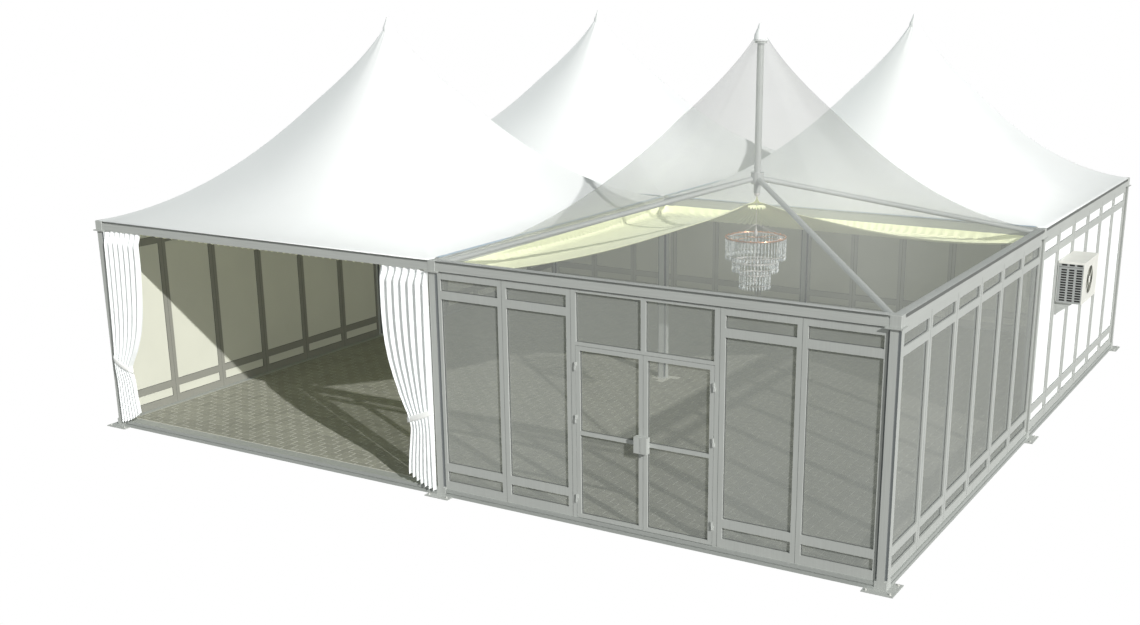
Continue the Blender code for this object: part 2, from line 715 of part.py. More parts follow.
def air_conditioner():
    """The outdoor unit on its wall bracket."""
    bm = box(BAY + AC_OUT[0], BAY + AC_OUT[1], *AC_Y, *AC_Z)
    unit = add("air_conditioner", bm, "cream_case", CREAM_CASE)
    face = BAY + AC_OUT[1]
    fan_ends = [(x, AC_FAN_Y, AC_FAN_Z) for x in (face - AC_FAN_DEEP, face + 0.02)]
    fan = tube(*fan_ends, AC_FAN_R, RING_SIDES)
    combine(unit, fan, "DIFFERENCE")
    wall = BAY + FRAME_FRONT + GAP
    arms = []
    for y in AC_ARM_Y:
        arm = bmesh.new()
        top = AC_Z[0] - GAP
        out = BAY + AC_ARM_OUT
        outline = ((wall, AC_ARM_LOW), (out, top - AC_ARM_STEP), (out, top), (wall, top))
        face = arm.faces.new([arm.verts.new((x, y - AC_ARM_T / 2, z)) for x, z in outline])
        grown = bmesh.ops.extrude_face_region(arm, geom=[face])
        moved = [v for v in grown["geom"] if isinstance(v, bmesh.types.BMVert)]
        bmesh.ops.translate(arm, verts=moved, vec=(0, AC_ARM_T, 0))
        arms.append(arm)
    rail_y = (AC_ARM_Y[0] - 0.03, AC_ARM_Y[1] + 0.03)
    rail = box(wall, wall + 0.004, *rail_y, AC_Z[0] - 0.06, AC_Z[0] - 0.02)
    bracket = add("air_conditioner_bracket", rail, "satin_aluminium", SATIN_GREY)
    for arm in arms:
        combine(bracket, arm, "UNION")


def build():
    """Make every piece."""
    for obj in list(bpy.data.objects):
        bpy.data.objects.remove(obj)
    floor_deck()
    cols = {-1: "left", 0: "middle", 1: "right"}
    rows = {-1: "front", 0: "centre", 1: "back"}
    for col, col_name in cols.items():
        for row, row_name in rows.items():
            post(f"post_{row_name}_{col_name}", col, row)
    sides = (
        ("front", "left", "right"),
        ("right", "front", "back"),
        ("back", "right", "left"),
        ("left", "back", "front"),
    )
    for turns, (wall, first, second) in enumerate(sides):
        base_rail(f"base_rail_{wall}", turns)
        eave_beam(f"eave_beam_{wall}_{first}", turns, -1)
        eave_beam(f"eave_beam_{wall}_{second}", turns, 1)
        valley_beam(f"valley_beam_{wall}", turns)
    for name, sx, sy in BAYS:
        roof_frame(f"roof_frame_{name}", sx, sy)
        roof_skin(f"roof_skin_{name}", sx, sy)
        lining(f"lining_{name}", sx, sy)
    glazed_wall("wall_right_front", 1, -1)
    solid_wall("wall_right_back", 1, 1)
    solid_wall("wall_back_right", 2, -1)
    solid_wall("wall_back_left", 2, 1)
    solid_wall("wall_left_back", 3, -1)
    solid_wall("wall_left_front", 3, 1)
    sidelight("sidelight_left", -1)
    sidelight("sidelight_right", 1)
    transom()
    door_leaf("door_left", -1)
    door_leaf("door_right", 1)
    for name in CURTAIN_PLACES:
        curtain(name)
    chandelier()
    air_conditioner()


build()
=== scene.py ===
import math
from itertools import pairwise, product

import bmesh
import bpy
from mathutils import Matrix, Vector


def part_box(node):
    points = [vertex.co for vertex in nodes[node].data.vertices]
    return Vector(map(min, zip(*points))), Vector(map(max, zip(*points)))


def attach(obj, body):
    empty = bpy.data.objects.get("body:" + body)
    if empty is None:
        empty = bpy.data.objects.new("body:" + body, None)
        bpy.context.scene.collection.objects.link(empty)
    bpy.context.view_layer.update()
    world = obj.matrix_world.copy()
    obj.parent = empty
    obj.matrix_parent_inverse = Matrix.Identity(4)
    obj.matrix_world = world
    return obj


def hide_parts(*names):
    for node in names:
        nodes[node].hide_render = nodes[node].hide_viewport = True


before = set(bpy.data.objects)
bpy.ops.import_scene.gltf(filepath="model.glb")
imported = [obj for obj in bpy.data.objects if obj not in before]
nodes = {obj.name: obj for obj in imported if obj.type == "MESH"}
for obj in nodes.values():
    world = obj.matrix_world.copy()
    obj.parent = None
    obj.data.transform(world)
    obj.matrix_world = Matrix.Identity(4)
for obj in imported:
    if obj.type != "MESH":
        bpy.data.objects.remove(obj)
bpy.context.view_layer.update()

scene = bpy.context.scene

# Driving sizes, read from the frame where it has them
BAY = (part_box("post_centre_right")[1][0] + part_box("post_centre_right")[0][0]) / 2
FLOOR_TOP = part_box("floor_deck")[1][2]
BEAM_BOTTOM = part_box("eave_beam_front_left")[0][2]
BEAM_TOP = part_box("eave_beam_front_left")[1][2]
MODULE = 0.9845
MODULE_START = (BAY - 6 * MODULE) / 2
STILE = 0.0635
WALL_ROWS = ((0.208, 0.348), (0.457, 2.625), (2.727, 2.876))
WALL_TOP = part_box("wall_back_left")[1][2]
FRAME_OUT = 0.045    # outer face of a wall frame, from the grid line outwards
FRAME_IN = -0.005
PANEL_OUT = 0.022    # faces of a wall's recessed panels
PANEL_IN = 0.008
BAYS = {"front_left": (-1, -1), "front_right": (1, -1), "back_left": (-1, 1), "back_right": (1, 1)}
# quarter turns from the front wall, which half of that wall, its number of panes and the first one
SOLID_WALLS = {
    "wall_right_back": (1, 1, 6, 0),
    "wall_back_right": (2, -1, 6, 0),
    "wall_back_left": (2, 1, 6, 0),
    "wall_left_back": (3, -1, 6, 0),
    "wall_left_front": (3, 1, 6, 0),
}
GLAZED_WALLS = {
    "wall_right_front": (1, -1, 6, 0),
    "sidelight_left": (0, 1, 2, 0),
    "sidelight_right": (0, 1, 2, 4),
}


# Materials
WAVES = 3.1831    # waves a metre of a wave texture at scale 1


class Look:
    """A material with short ways to build its nodes, in the object's own coordinates."""

    def __init__(self, name, colour, roughness, metallic=0.0):
        self.made = bpy.data.materials.new(name)
        self.made.use_nodes = True
        self.tree = self.made.node_tree
        self.bsdf = self.tree.nodes["Principled BSDF"]
        self.set("Base Color", (*colour, 1))
        self.set("Roughness", roughness)
        self.set("Metallic", metallic)

    def node(self, kind, inputs, **settings):
        """A node with its settings, its input values or links."""
        made = self.tree.nodes.new("ShaderNode" + kind)
        for key, value in settings.items():
            setattr(made, key, value)
        for key, value in inputs.items():
            self.feed(made.inputs[key], value)
        return made

    def place(self, scale=(1, 1, 1)):
        """Coordinates in metres, stretched along each axis."""
        spot = self.node("TexCoord", {}).outputs["Object"]
        return self.node("Mapping", {"Vector": spot, "Scale": scale}).outputs["Vector"]

    def grain(self, cells, scale=(1, 1, 1), detail=3.0):
        """Noise with so many cells a metre."""
        noise = self.node("TexNoise", {"Vector": self.place(scale), "Scale": cells, "Detail": detail})
        return noise.outputs["Fac"]

    def ribs(self, pitch, axis):
        """Rounded threads along an axis, with a crest to every two pitches."""
        values = {"Vector": self.place(), "Scale": 1 / pitch / WAVES * 0.5}
        wave = self.node("TexWave", values, bands_direction=axis)
        return wave.outputs["Fac"]

    def island(self):
        """A random number for each loose part of a mesh."""
        return self.node("NewGeometry", {}).outputs["Random Per Island"]

    def span(self, factor, low, high, start=0.3, end=0.7):
        values = {"Value": factor, "From Min": start, "From Max": end, "To Min": low, "To Max": high}
        return self.node("MapRange", values).outputs["Result"]

    def math(self, operation, first, second):
        made = self.node("Math", {0: first, 1: second}, operation=operation)
        return made.outputs["Value"]

    def blend(self, factor, first, second):
        """A colour between two others."""
        ends = [end if isinstance(end, bpy.types.NodeSocket) else (*end, 1) for end in (first, second)]
        mix = self.node("Mix", {"Factor": factor, 6: ends[0], 7: ends[1]}, data_type="RGBA")
        return mix.outputs[2]

    def feed(self, socket, value):
        """Links a socket, or sets it all over the surface."""
        if isinstance(value, bpy.types.NodeSocket):
            self.tree.links.new(value, socket)
        else:
            socket.default_value = value

    def set(self, name, value):
        self.feed(self.bsdf.inputs[name], value)

    def mottle(self, factor, first, second):
        """A base colour that wanders between two others."""
        self.set("Base Color", self.blend(self.span(factor, 0, 1), first, second))

    def bump(self, height, distance, strength=1.0):
        values = {"Height": height, "Distance": distance, "Strength": strength}
        self.set("Normal", self.node("Bump", values).outputs["Normal"])


def times(colour, factor):
    return tuple(c * factor for c in colour)


METAL = (0.425, 0.438, 0.414)


def satin(name, stretch, grey=METAL, inner=None):
    """Satin aluminium, drawn along one axis, with a painted shade on a wall's inner faces if wanted."""
    look = Look(name, grey, 0.60, 0.10)
    streak = look.grain(90, stretch, 4)
    cloud = look.grain(1.7)
    tone = look.blend(look.span(streak, 0, 1), times(grey, 0.93), times(grey, 1.06))
    tone = look.blend(look.span(cloud, 0, 0.35), tone, times(grey, 0.90))
    # painted shade: faces inside a wall's outer bounds take the inner tone in place of the metal's own
    if inner:
        spot = look.node("SeparateXYZ", {"Vector": look.place()}).outputs
        reach = [look.math("ABSOLUTE", spot[axis], 0.0) for axis in ("X", "Y")]
        depth = look.math("MAXIMUM", *reach)
        indoor_shade_mask = look.math("LESS_THAN", depth, BAY + 0.006)
        tone = look.blend(indoor_shade_mask, tone, inner)
    look.set("Base Color", tone)
    look.set("Roughness", look.span(streak, 0.54, 0.68))
    look.bump(streak, 0.0003, 0.4)
    return look.made


def dark_rubber():
    look = Look("dark_rubber", (0.075, 0.078, 0.074), 0.62)
    speckle = look.grain(220)
    look.set("Roughness", look.span(speckle, 0.5, 0.8))
    look.bump(speckle, 0.0003, 0.4)
    return look.made


def coated_fabric():
    """White coated membrane: a fine scrim under a smooth coat, with faint dust low on it."""
    white = (0.80, 0.81, 0.80)
    look = Look("coated_fabric", white, 0.48)
    cloud = look.grain(0.9)
    height = look.node("SeparateXYZ", {"Vector": look.place()}).outputs["Z"]
    low = look.span(height, 1.0, 0.0, 3.10, 3.9)
    dust = look.math("MULTIPLY", low, look.span(cloud, 0.0, 0.5))
    look.set("Base Color", look.blend(dust, white, (0.74, 0.75, 0.73)))
    threads = look.math("ADD", look.ribs(0.0022, "X"), look.ribs(0.0022, "Y"))
    look.bump(threads, 0.0002, 0.25)
    look.set("Roughness", look.span(cloud, 0.42, 0.56))
    return look.made


def see_through(name, alpha, colour, roughness, cells, stretch, depth, strength, gloss):
    """Clear sheet with a grey cast, a little uneven as pressed film and glass are."""
    look = Look(name, colour, roughness)
    ripple = look.grain(cells, (1, 1, stretch))
    look.mottle(ripple, [c - 0.015 for c in colour], [c + 0.015 for c in colour])
    look.bump(ripple, depth, strength)
    look.set("Alpha", alpha)
    look.set("Specular IOR Level", gloss)
    return look.made


def woven(name, colour, thread, roughness, painted_glow=0.0, glow_front_only=False):
    """Plain woven cloth with slubs, and a painted glow of its own colour, on its front side only if wanted.
    """
    look = Look(name, colour, roughness)
    slub = look.grain(60, (1, 1, 0.15))
    cloud = look.grain(2.5)
    tone = look.blend(look.span(slub, 0, 1), times(colour, 0.95), times(colour, 1.03))
    look.set("Base Color", look.blend(look.span(cloud, 0, 0.3), tone, times(colour, 0.93)))
    threads = look.math("ADD", look.ribs(thread, "X"), look.ribs(thread, "Z"))
    height = look.math("ADD", threads, slub)
    look.bump(height, 0.0002, 0.25)
    look.set("Sheen Weight", 0.15)
    look.set("Sheen Roughness", 0.5)
    # painted glow: the cloth gives off light of its own colour, as if lit
    look.set("Emission Color", (*colour, 1))
    look.set("Emission Strength", painted_glow)
    if glow_front_only:
        back = look.node("NewGeometry", {}).outputs["Backfacing"]
        look.set("Emission Strength", look.span(back, painted_glow, 0.0, 0.0, 1.0))
    return look.made


def floor_bricks(name, shade):
    """Grey-green floor bricks, each a little different, with a fine stony grain."""
    look = Look(name, times((0.30, 0.30, 0.25), shade), 0.75)
    each = look.island()
    fine = look.grain(45, detail=5)
    broad = look.grain(0.8)
    tone = look.blend(each, times((0.250, 0.250, 0.208), shade), times((0.315, 0.315, 0.262), shade))
    tone = look.blend(look.span(fine, 0, 0.4), tone, times((0.215, 0.215, 0.178), shade))
    look.set("Base Color", look.blend(look.span(broad, 0, 0.25), tone, times((0.34, 0.34, 0.29), shade)))
    look.set("Roughness", look.span(fine, 0.62, 0.88))
    look.bump(fine, 0.002, 0.5)
    return look.made


def floor_joint():
    look = Look("floor_joint", (0.38, 0.37, 0.31), 0.9)
    grit = look.grain(150, detail=4)
    look.mottle(grit, (0.50, 0.50, 0.45), (0.62, 0.61, 0.55))
    look.bump(grit, 0.001, 0.6)
    return look.made


def copper_look():
    look = Look("copper_rings", (0.78, 0.42, 0.26), 0.28, 0.85)
    wear = look.grain(40)
    look.mottle(wear, (0.80, 0.45, 0.29), (0.66, 0.33, 0.19))
    look.set("Roughness", look.span(wear, 0.22, 0.38))
    return look.made


def crystal_look():
    look = Look("crystal", (0.60, 0.63, 0.61), 0.08)
    each = look.island()
    look.set("Base Color", look.blend(each, (0.30, 0.33, 0.33), (0.86, 0.88, 0.85)))
    look.set("Alpha", 0.60)
    look.set("Specular IOR Level", 0.8)
    return look.made


# the skin of a coated hard panel, in the terms of moulded()
ORANGE_PEEL = {"fine_cells": 160, "broad_cells": 1.1, "shade": 0.96, "spread": 0.08, "depth": 0.0004}


def moulded(name, colour, roughness, fine_cells=300, broad_cells=6, shade=0.97, spread=0.07, depth=0.0002):
    """Painted sheet, moulded plastic or a coated panel, with a fine texture."""
    look = Look(name, colour, roughness)
    fine = look.grain(fine_cells, detail=2)
    cloud = look.grain(broad_cells)
    look.mottle(cloud, times(colour, shade), times(colour, 1.02))
    look.set("Roughness", look.span(fine, roughness - spread, roughness + spread))
    look.bump(fine, depth, 0.3)
    return look.made


alu_up = satin("satin_aluminium_upright", (1, 1, 0.02))
alu_x = satin("satin_aluminium_along_x", (0.02, 1, 1))
alu_y = satin("satin_aluminium_along_y", (1, 0.02, 1))
# painted shade on the frames' inner faces: dark on the left wall, a lighter tone on the back walls
alu_wall = satin("satin_aluminium_left_wall", (1, 1, 0.02), inner=(0.245, 0.243, 0.212))
alu_back = satin("satin_aluminium_back_wall", (1, 1, 0.02), inner=(0.44, 0.44, 0.39))
alu_base = satin("satin_aluminium_base", (0.3, 0.3, 1), grey=(0.340, 0.355, 0.335))
rubber = dark_rubber()
membrane = coated_fabric()
film = see_through("clear_film", 0.30, (0.47, 0.48, 0.47), 0.22, 3.5, 0.4, 0.004, 0.35, 0.25)
TINTED = ((0.41, 0.425, 0.40), 0.06, 1.3, 0.5, 0.002, 0.15, 0.30)
glass = see_through("tinted_glass", 0.36, *TINTED)
door_glass = see_through("tinted_door_glass", 0.24, *TINTED)
board_out = moulded("panel_outside", (0.84, 0.85, 0.84), 0.45, **ORANGE_PEEL)
board_in = moulded("panel_inside", (0.555, 0.555, 0.475), 0.60, **ORANGE_PEEL)
# the lining and the curtains glow a little as painted light, the lining only on its upper side
lining_cloth = woven("lining_cloth", (0.90, 0.92, 0.62), 0.0030, 0.75, painted_glow=0.10, glow_front_only=True)
curtain_cloth = woven("curtain_cloth", (0.67, 0.685, 0.675), 0.0025, 0.80, painted_glow=0.12)
band_cloth = woven("band_cloth", (0.82, 0.82, 0.79), 0.0020, 0.75)
brick = floor_bricks("floor_bricks", 0.92)
brick_across = floor_bricks("floor_bricks_across", 0.90)
joint = floor_joint()
copper = copper_look()
crystal = crystal_look()
case_cream = moulded("case_cream", (0.66, 0.655, 0.605), 0.42)
case_grey = moulded("case_grey", (0.30, 0.31, 0.30), 0.42)
case_dark = moulded("case_dark", (0.075, 0.078, 0.062), 0.55)
blade_grey = moulded("fan_blade", (0.30, 0.30, 0.24), 0.5)
# the gutter flaps' blue-grey: partly their own colour, partly painted shade of the valleys
gutter_valley_shade = moulded("gutter_flap", (0.42, 0.50, 0.56), 0.5)
zinc = moulded("zinc_plated", (0.50, 0.50, 0.47), 0.38)
# keder grey, darkened as painted shade of the gap under the membrane's edge
keder_and_gap_shade = moulded("keder_and_gap_shade", (0.125, 0.130, 0.122), 0.6)
# painted shade in the posts' channels: dark, and lighter where the sun falls on the right wall
channel_shade_dark = moulded("channel_shade_dark", (0.125, 0.135, 0.135), 0.7)
channel_shade_light = moulded("channel_shade_light", (0.30, 0.31, 0.29), 0.7)
# painted shade in the depth of the louvre slots
slot_painted_shade = moulded("slot_painted_shade", (0.012, 0.012, 0.011), 0.8)
lamp_pale = moulded("lamp_pale", (0.56, 0.53, 0.50), 0.35)


# Mesh helpers
def placed(name, data):
    """A new object in the scene."""
    made = bpy.data.objects.new(name, data)
    scene.collection.objects.link(made)
    return made


def piece(name, bm, look, smooth=False, body="marquee"):
    """A finished mesh as a piece that rides on a body."""
    bmesh.ops.recalc_face_normals(bm, faces=bm.faces)
    mesh = bpy.data.meshes.new(name)
    bm.to_mesh(mesh)
    bm.free()
    mesh.materials.append(look)
    made = placed(name, mesh)
    if smooth:
        mesh.shade_smooth()
    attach(made, body)
    return made


def block(bm, low, high, chamfer=0.002):
    """A box with chamfered edges."""
    spots = {}
    for sign in product((0, 1), repeat=3):
        for flat in range(3):
            spot = [(low, high)[sign[k]][k] for k in range(3)]
            for k in range(3):
                if k != flat:
                    spot[k] += chamfer * (1 - 2 * sign[k])
            spots[sign, flat] = bm.verts.new(spot)
        bm.faces.new([spots[sign, flat] for flat in range(3)])
    for flat in range(3):
        a, b = (k for k in range(3) if k != flat)

        def corner(end, i, j):
            sign = [0, 0, 0]
            sign[flat], sign[a], sign[b] = end, i, j
            return tuple(sign)

        for end in (0, 1):
            bm.faces.new([spots[corner(end, i, j), flat] for i, j in ((0, 0), (1, 0), (1, 1), (0, 1))])
        for i, j in product((0, 1), repeat=2):
            first, last = corner(0, i, j), corner(1, i, j)
            bm.faces.new((spots[first, a], spots[last, a], spots[last, b], spots[first, b]))


def turn_part(bm, turns, start=0):
    """Turns the vertices from start on by quarter turns about the marquee's middle."""
    bm.verts.ensure_lookup_table()
    turn = Matrix.Rotation(turns * math.pi / 2, 4, "Z")
    bmesh.ops.transform(bm, matrix=turn, verts=bm.verts[start:])


def angles_round(count):
    """Even angles round a circle."""
    return [2 * math.pi * n / count for n in range(count)]


def polar(middle, reach, angle, height):
    """A point at a reach and an angle round a middle."""
    return middle[0] + reach * math.cos(angle), middle[1] + reach * math.sin(angle), height


def lathe(bm, profile, origin, along=(0, 0, 1), sides=24, smooth=False):
    """A solid of revolution: (radius, height) pairs turned about the axis along `along` at origin."""
    turn = Vector(along).to_track_quat("Z", "Y").to_matrix().to_4x4()
    move = Matrix.Translation(origin) @ turn
    rows = []
    for radius, height in profile:
        rows.append([move @ Vector(polar((0, 0), radius, angle, height)) for angle in angles_round(sides)])
    rings = grid_sheet(bm, rows, True, smooth)
    bm.faces.new(rings[0])
    bm.faces.new(rings[-1])


def torus(bm, centre, radius, tube, across=48, around=8, flatten=1.0):
    """A round ring lying flat, with its tube flattened in height if wanted."""
    section = []
    for turn in angles_round(around):
        section.append((radius + tube * math.cos(turn), centre[2] + tube * flatten * math.sin(turn)))
    rings = [[bm.verts.new(polar(centre, reach, angle, height)) for reach, height in section]
             for angle in angles_round(across)]
    for here, there in pairwise(rings + rings[:1]):
        for k in range(around):
            m = (k + 1) % around
            bm.faces.new((here[k], there[k], there[m], here[m])).smooth = True


def grid_sheet(bm, rows, closed=False, smooth=False):
    """One layer of quads between rows of points."""
    verts = [[bm.verts.new(p) for p in row] for row in rows]
    count = len(rows[0])
    for lower, upper in pairwise(verts):
        for n in range(count if closed else count - 1):
            m = (n + 1) % count
            bm.faces.new((lower[n], lower[m], upper[m], upper[n])).smooth = smooth
    return verts


def sheet_piece(name, rows, look, closed=False):
    """A smooth piece of one layer."""
    bm = bmesh.new()
    grid_sheet(bm, rows, closed)
    return piece(name, bm, look, smooth=True)


def mirrored(half):
    """A symmetrical section from its first half."""
    return half + tuple((-off, other) for off, other in reversed(half))


def smooth_path(points, value):
    """A smooth curve that passes given (position, size) points, in rising order of position."""
    if value <= points[0][0]:
        return points[0][1]
    for (a, p), (b, q) in pairwise(points):
        if value <= b:
            share = (value - a) / (b - a)
            before = next((y for x, y in reversed(points) if x < a), p)
            after = next((y for x, y in points if x > b), q)
            first, last = (q - before) / 2, (after - p) / 2
            s2, s3 = share ** 2, share ** 3
            return (2 * s3 - 3 * s2 + 1) * p + (s3 - 2 * s2 + share) * first \
                + (3 * s2 - 2 * s3) * q + (s3 - s2) * last
    return points[-1][1]


# Carried-over nodes that keep their shape
for name, made in nodes.items():
    if name.endswith("_glass"):
        look = door_glass if name in ("door_left_glass", "door_right_glass") else glass
    elif name == "floor_deck":
        look = joint
    elif name in SOLID_WALLS:
        look = alu_wall if name.startswith("wall_left") else alu_back
    elif name.startswith("base_rail"):
        look = alu_base
    elif name.startswith("post") or name.endswith("_frame"):
        look = alu_up
    elif name == "air_conditioner":
        look = case_cream
    else:
        low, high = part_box(name)
        size = [high[k] - low[k] for k in range(3)]
        look = (alu_x, alu_y, alu_up)[size.index(max(size))]
    made.data.materials.clear()
    made.data.materials.append(look)


# Roof membranes
SKIN_EDGE = 0.062
SKIN_INNER = 0.030
SKIN_LOW = BEAM_TOP + 0.0063
SKIN_SLOPE = 0.60
SKIN_TOP = 5.862    # where the surface would meet the mast
SKIN_CURVE = SKIN_TOP - SKIN_LOW - SKIN_SLOPE
SKIN_SAG = 0.11
SKIN_RING = 0.028    # share of the run that the mast's ring takes
SKIN_STEPS = 64
# degrees off a hip
HIP_STEPS = (0, 0.4, 0.9, 1.5, 2.3, 3.5, 5, 7, 9.5, 12, 15, 18, 21, 24, 27, 30, 33, 36, 39, 42, 45)
HEM = ((0.0020, 0.0015), (0.0028, 0.0050))    # the edge's roll, out and down
HEM_BAND = 0.15    # how near the outermost edge a point rolls with it


def membrane_height(share, across):
    """Height of the roof surface at a share of the run from the mast."""
    rise = 1 - share
    hip = SKIN_LOW + SKIN_SLOPE * rise + SKIN_CURVE * rise * rise
    return hip - SKIN_SAG * 4 * share * rise * (1 - across * across)


def directions():
    """Angles round a bay, closer together at the hips."""
    angles = []
    for quarter in range(4):
        hip = 45 + 90 * quarter
        angles += [hip - step for step in reversed(HIP_STEPS[1:])]
        angles += [hip + step for step in HIP_STEPS[:-1]]
    return [math.radians(angle) for angle in angles]


def rounded_reach(angle, half, radius):
    """Distance from the middle to a square with rounded corners."""
    cos, sin = abs(math.cos(angle)), abs(math.sin(angle))
    flat = half / max(cos, sin)
    centre = half - radius
    if flat * min(cos, sin) <= centre:
        return flat
    along = centre * (cos + sin)
    return along + math.sqrt(max(0.0, radius * radius - 2 * centre * centre + along * along))


def tension_fold(share, angle, seed):
    """Fine folds that run down from the mast and up from the corners."""
    hip = abs((math.degrees(angle) % 90) - 45)
    near_mast = math.exp(-share / 0.10) * math.sin(16 * angle + seed)
    near_corner = math.exp(-(1 - share) / 0.16) * math.exp(-hip / 7) * math.sin(hip * 0.9 + seed)
    return 0.005 * near_mast - 0.006 * abs(near_corner)


def membrane_rows(sx, sy, seed, round_all=False):
    """Rows of points from the mast's ring to the eaves, and the hem's roll on the outer sides."""
    middle = (sx * BAY / 2, sy * BAY / 2)
    rows = []
    for i in range(SKIN_STEPS + 1):
        share = SKIN_RING + (1 - SKIN_RING) * (i / SKIN_STEPS) ** 1.15
        near = max(0.0, 1 - share / 0.32) ** 2
        row = []
        for angle in directions():
            cos, sin = math.cos(angle), math.sin(angle)
            run_x = BAY / 2 + (SKIN_EDGE if cos * sx > 0 else -SKIN_INNER)
            run_y = BAY / 2 + (SKIN_EDGE if sin * sy > 0 else -SKIN_INNER)
            reach = rounded_reach(angle, share, share if round_all else share * max(0.030, near))
            across = min(abs(cos), abs(sin)) / max(abs(cos), abs(sin))
            height = membrane_height(share, across) + tension_fold(share, angle, seed)
            row.append((middle[0] + reach * cos * run_x, middle[1] + reach * sin * run_y, height))
        rows.append(row)
    edge = rows[SKIN_STEPS]
    for out, down in HEM:
        row = []
        for x, y, z in edge:
            dx, dy = (x - middle[0]) * sx, (y - middle[1]) * sy
            far = max(abs(dx), abs(dy)) - HEM_BAND
            roll_x = out * sx if dx > far else 0
            roll_y = out * sy if dy > far else 0
            row.append((x + roll_x, y + roll_y, z - down))
        rows.append(row)
    return rows


def soften(made, rows):
    """Shades a membrane as if its contours were round, as tight cloth looks from outside."""
    bm = bmesh.new()
    grid_sheet(bm, rows, closed=True)
    bm.normal_update()
    bm.verts.ensure_lookup_table()
    normals = [v.normal * math.copysign(1, v.normal.z) for v in bm.verts]
    bm.free()
    made.data.normals_split_custom_set_from_vertices(normals)


# each membrane is sewn from four tapering gores, nested head to foot on the cutting table
for number, (bay, (sx, sy)) in enumerate(BAYS.items()):
    rows = membrane_rows(sx, sy, 1.7 * number)
    skin = sheet_piece("membrane_" + bay, rows, film if bay == "front_right" else membrane, closed=True)
    soften(skin, membrane_rows(sx, sy, 1.7 * number, round_all=True))
    skin.shadow_terminator_geometry_offset = 1.0
    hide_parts("roof_skin_" + bay)


# Gutter flaps on the valley beams' ribs: off the rib's middle, and up from its top
GUTTER_SECTION = mirrored(((-0.028, 0.004), (-0.022, 0.009), (-0.008, 0.003)))
GUTTER_END = 0.02
GUTTER_STEPS = 24


def gutter_rows(name):
    low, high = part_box(name)
    across = 0 if high[0] - low[0] < high[1] - low[1] else 1
    along = 1 - across
    mid = (low[across] + high[across]) / 2
    length = high[along] - low[along] - 2 * GUTTER_END
    rows = []
    for i in range(GUTTER_STEPS + 1):
        run = low[along] + GUTTER_END + length * i / GUTTER_STEPS
        spots = [(mid + off, run, high[2] + up) for off, up in GUTTER_SECTION]
        rows.append([(y, x, z) for x, y, z in spots] if across else spots)
    return rows


# the flaps' blue-grey is partly painted shade of the valleys between the roofs
for side in ("front", "right", "back", "left"):
    flap = sheet_piece("gutter_flap_" + side, gutter_rows("valley_beam_" + side), gutter_valley_shade)


# Mast tops: a white sleeve over the membrane's ring, drawn in to a point
CAP_FOOT = 5.762
CAP_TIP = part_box("roof_frame_front_left")[1][2] + 0.002
for bay, (sx, sy) in BAYS.items():
    bm = bmesh.new()
    x, y = sx * BAY / 2, sy * BAY / 2
    top = membrane_height(SKIN_RING, 0)
    ring_r = SKIN_RING * BAY / 2
    profile = [(ring_r + 0.004, top - 0.022), (ring_r + 0.006, top - 0.016), (ring_r + 0.003, top + 0.010)]
    profile += [(ring_r, CAP_FOOT), (0.066, CAP_FOOT + 0.040), (0.046, CAP_FOOT + 0.090), (0.026, CAP_TIP)]
    profile += [(0.006, CAP_TIP + 0.004)]
    lathe(bm, profile, (x, y, 0), sides=32, smooth=True)
    collar = piece("mast_collar_" + bay, bm, membrane)


# Dark keder strips along the eave beams, broad on the side walls and narrow on the other two. Their dark grey
# is partly the keder's own colour and partly painted shade of the gap under the membrane's edge.
BEAM_FACE = 0.068
KEDER_SPANS = ((-BAY + 0.074, -0.058), (0.058, BAY - 0.074))
KEDER_FEET = (3.088, 3.062)  # lower edge on the front and back, and on the side walls


def keder_strips():
    bm = bmesh.new()
    for turns, (start, end) in product(range(4), KEDER_SPANS):
        first = len(bm.verts)
        low = KEDER_FEET[turns % 2]
        section = []
        for k in range(9):
            bulge = 0.0006 + 0.0024 * math.cos(math.pi * (k / 8 - 0.5))
            section.append((-BAY - BEAM_FACE - bulge, low + (BEAM_TOP - 0.001 - low) * k / 8))
        grid_sheet(bm, [[(x, *spot) for spot in section] for x in (start, end)])
        turn_part(bm, turns, first)
    return bm


piece("eave_keder", keder_strips(), keder_and_gap_shade, smooth=True)


# Dark plates in the posts' corner channels, painting the shade in them, lighter on the sunlit right wall
POST_HALF = 0.0725
CHANNEL_WALL = 0.0465
CHANNEL_ENDS = (0.125, 2.940)


def post_channels(on_right_wall):
    """Painted-shade plates of the posts on the right wall behind its corner, or of all the others."""
    bm = bmesh.new()
    low, high = CHANNEL_ENDS
    for turns, col, row in product(range(4), (-BAY, 0, BAY), (-BAY, 0, BAY)):
        first = len(bm.verts)
        x, y = col + CHANNEL_WALL, row - CHANNEL_WALL
        block(bm, (x + 0.0003, row - POST_HALF + 0.001, low), (x + 0.0015, y, high), 0.0003)
        block(bm, (x + 0.0015, y - 0.0015, low), (col + POST_HALF - 0.001, y - 0.0003, high), 0.0003)
        turn_part(bm, turns, first)
        place = bm.verts[first].co
        if (place.x > BAY / 2 and place.y > -BAY / 2) != on_right_wall:
            bmesh.ops.delete(bm, geom=bm.verts[first:], context="VERTS")
    return bm


piece("post_channels", post_channels(False), channel_shade_dark)
piece("post_channels_right", post_channels(True), channel_shade_light)


# Panels of the hard walls: white outside, cream inside, each held by a rubber gasket
PANEL_FACES = (("outside", PANEL_OUT, 0.0020, board_out), ("inside", PANEL_IN, -0.0020, board_in))
PANEL_MARGIN = 0.006    # from a pane's clear edge to its plate
PANEL_GASKET = 0.005
GASKET_MARGIN = 0.0004
GLASS_GASKET = 0.006
GLASS_SIDES = ((-BAY - 0.0245, -BAY - 0.0194), (-BAY - 0.0126, -BAY - 0.0075))


